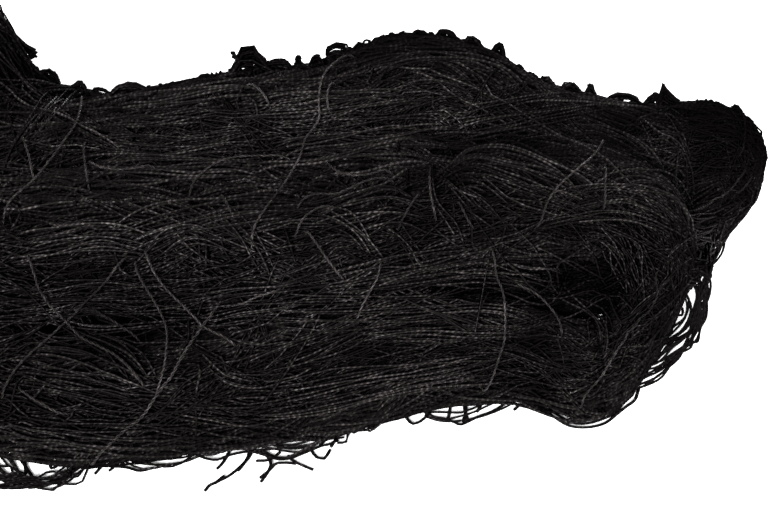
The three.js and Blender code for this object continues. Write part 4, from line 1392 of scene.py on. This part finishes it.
# %% Loose strands on the other sides
UNSEEN_TRIES = 75
UNSEEN_STEPS, UNSEEN_TURN, UNSEEN_STRAY = (10, 24), 0.06, 0.6
UNSEEN_HEIGHT = 2.2
UNSEEN_TONES = (0.7, 1.1)
PICTURE_LEFT = -84
CLEAR_OF_FLOOR = 6
PLY_RADIUS = 0.54
PLY_PAINTED_SHADING, PLY_EVENNESS = 0.5, 0.3


def unseen(path, out):
    """Whether a path stays out of the photograph and off the underside."""
    away = (out * unit(eye_mm - path)).sum(1) < 0
    return (away | (path[:, 0] < PICTURE_LEFT)).all() and path[:, 2].min() > CLEAR_OF_FLOOR


unseen_plies = []
for _ in range(UNSEEN_TRIES):
    station, start = chance_start()
    heading = Vector(along[station] + rng.normal(0, UNSEEN_STRAY, 3))
    path, out, _ = walk(start, heading, rng.integers(*UNSEEN_STEPS), rng.normal(0, UNSEEN_TURN))
    if unseen(path, out):
        unseen_plies += plied(dipped(path, out, UNSEEN_HEIGHT, LOOSE_REACH), out, TWINE_RADIUS)
loose_tones = np.concatenate([seen_tones, ply_tones(unseen_plies, UNSEEN_TONES)])
print(len(unseen_plies) // PLIES, "loose strands on the other sides")
ply_twine = twine_material("ply_of_twine", LAY, PLY_PAINTED_SHADING, PLY_EVENNESS)
ply_radius = TWINE_RADIUS * PLY_RADIUS
add_twine("loose_strands", seen_plies + unseen_plies, loose_tones, ply_twine, ply_radius, sides=4)

# %% [markdown]
# ## Floor and light
# The net lies on plain white, as in a product photograph. The floor is one large pale plane with a faint
# grain. It glows a little, so that it stays white around the bundle without a stronger lamp, which would grey
# the net.

# %% Floor
FLOOR_SIZE = 6
GRAIN_SCALE = 40.0
PALE, PALEST = (0.88, 0.88, 0.88, 1), (0.92, 0.92, 0.92, 1)
FLOOR_ROUGHNESS, FLOOR_GLOW = 0.7, 0.2
WHITE = (1, 1, 1, 1)
bpy.ops.object.select_all(action="DESELECT")
bpy.ops.mesh.primitive_plane_add(size=FLOOR_SIZE, location=(0, 0, 0))
floor = bpy.context.object
floor.name = "floor"
floor_material, floor_shader, paper = new_material("pale_floor")
paper_spot = paper.node("ShaderNodeTexCoord", "Object")
grain = paper.node("ShaderNodeTexNoise", "Fac", Vector=paper_spot, Scale=GRAIN_SCALE)
grain.between(PALE, PALEST).feed(floor_shader.inputs["Base Color"])
floor_shader.inputs["Roughness"].default_value = FLOOR_ROUGHNESS
floor_shader.inputs["Emission Color"].default_value = WHITE
floor_shader.inputs["Emission Strength"].default_value = FLOOR_GLOW
floor.data.materials.append(floor_material)
print("floor", FLOOR_SIZE, "m wide")

# %% [markdown]
# The light is soft and comes from all round. A sun would throw hard shadows, so there are three large square
# lamps: one in front that shows the strands, one behind that gives the top edge its rim, and a weaker one at
# the right that reaches into the fold. A white world fills the rest.

# %% Lights
WORLD_STRENGTH = 0.5
world = bpy.data.worlds.new("studio")
bpy.context.scene.world = world
world.use_nodes = True
background = world.node_tree.nodes["Background"]
background.inputs["Color"].default_value = WHITE
background.inputs["Strength"].default_value = WORLD_STRENGTH


def soft_light(name, place, size, power):
    """A square lamp that points at the net. Its place and size are in metres, its power in watts."""
    bpy.ops.object.light_add(type="AREA", location=place)
    light = bpy.context.object
    light.name = name
    light.data.size = size
    light.data.energy = power
    light.rotation_euler = (AIM - Vector(place)).to_track_quat("-Z", "Y").to_euler()
    print(name, power, "W")


soft_light("key_light", (-0.3, -1.0, 0.7), 0.5, 61)
soft_light("back_light", (0.2, 1.2, 0.25), 0.6, 34)
soft_light("side_light", (1.1, 0.0, 0.35), 0.5, 16)
bpy.context.scene.view_settings.view_transform = "Standard"
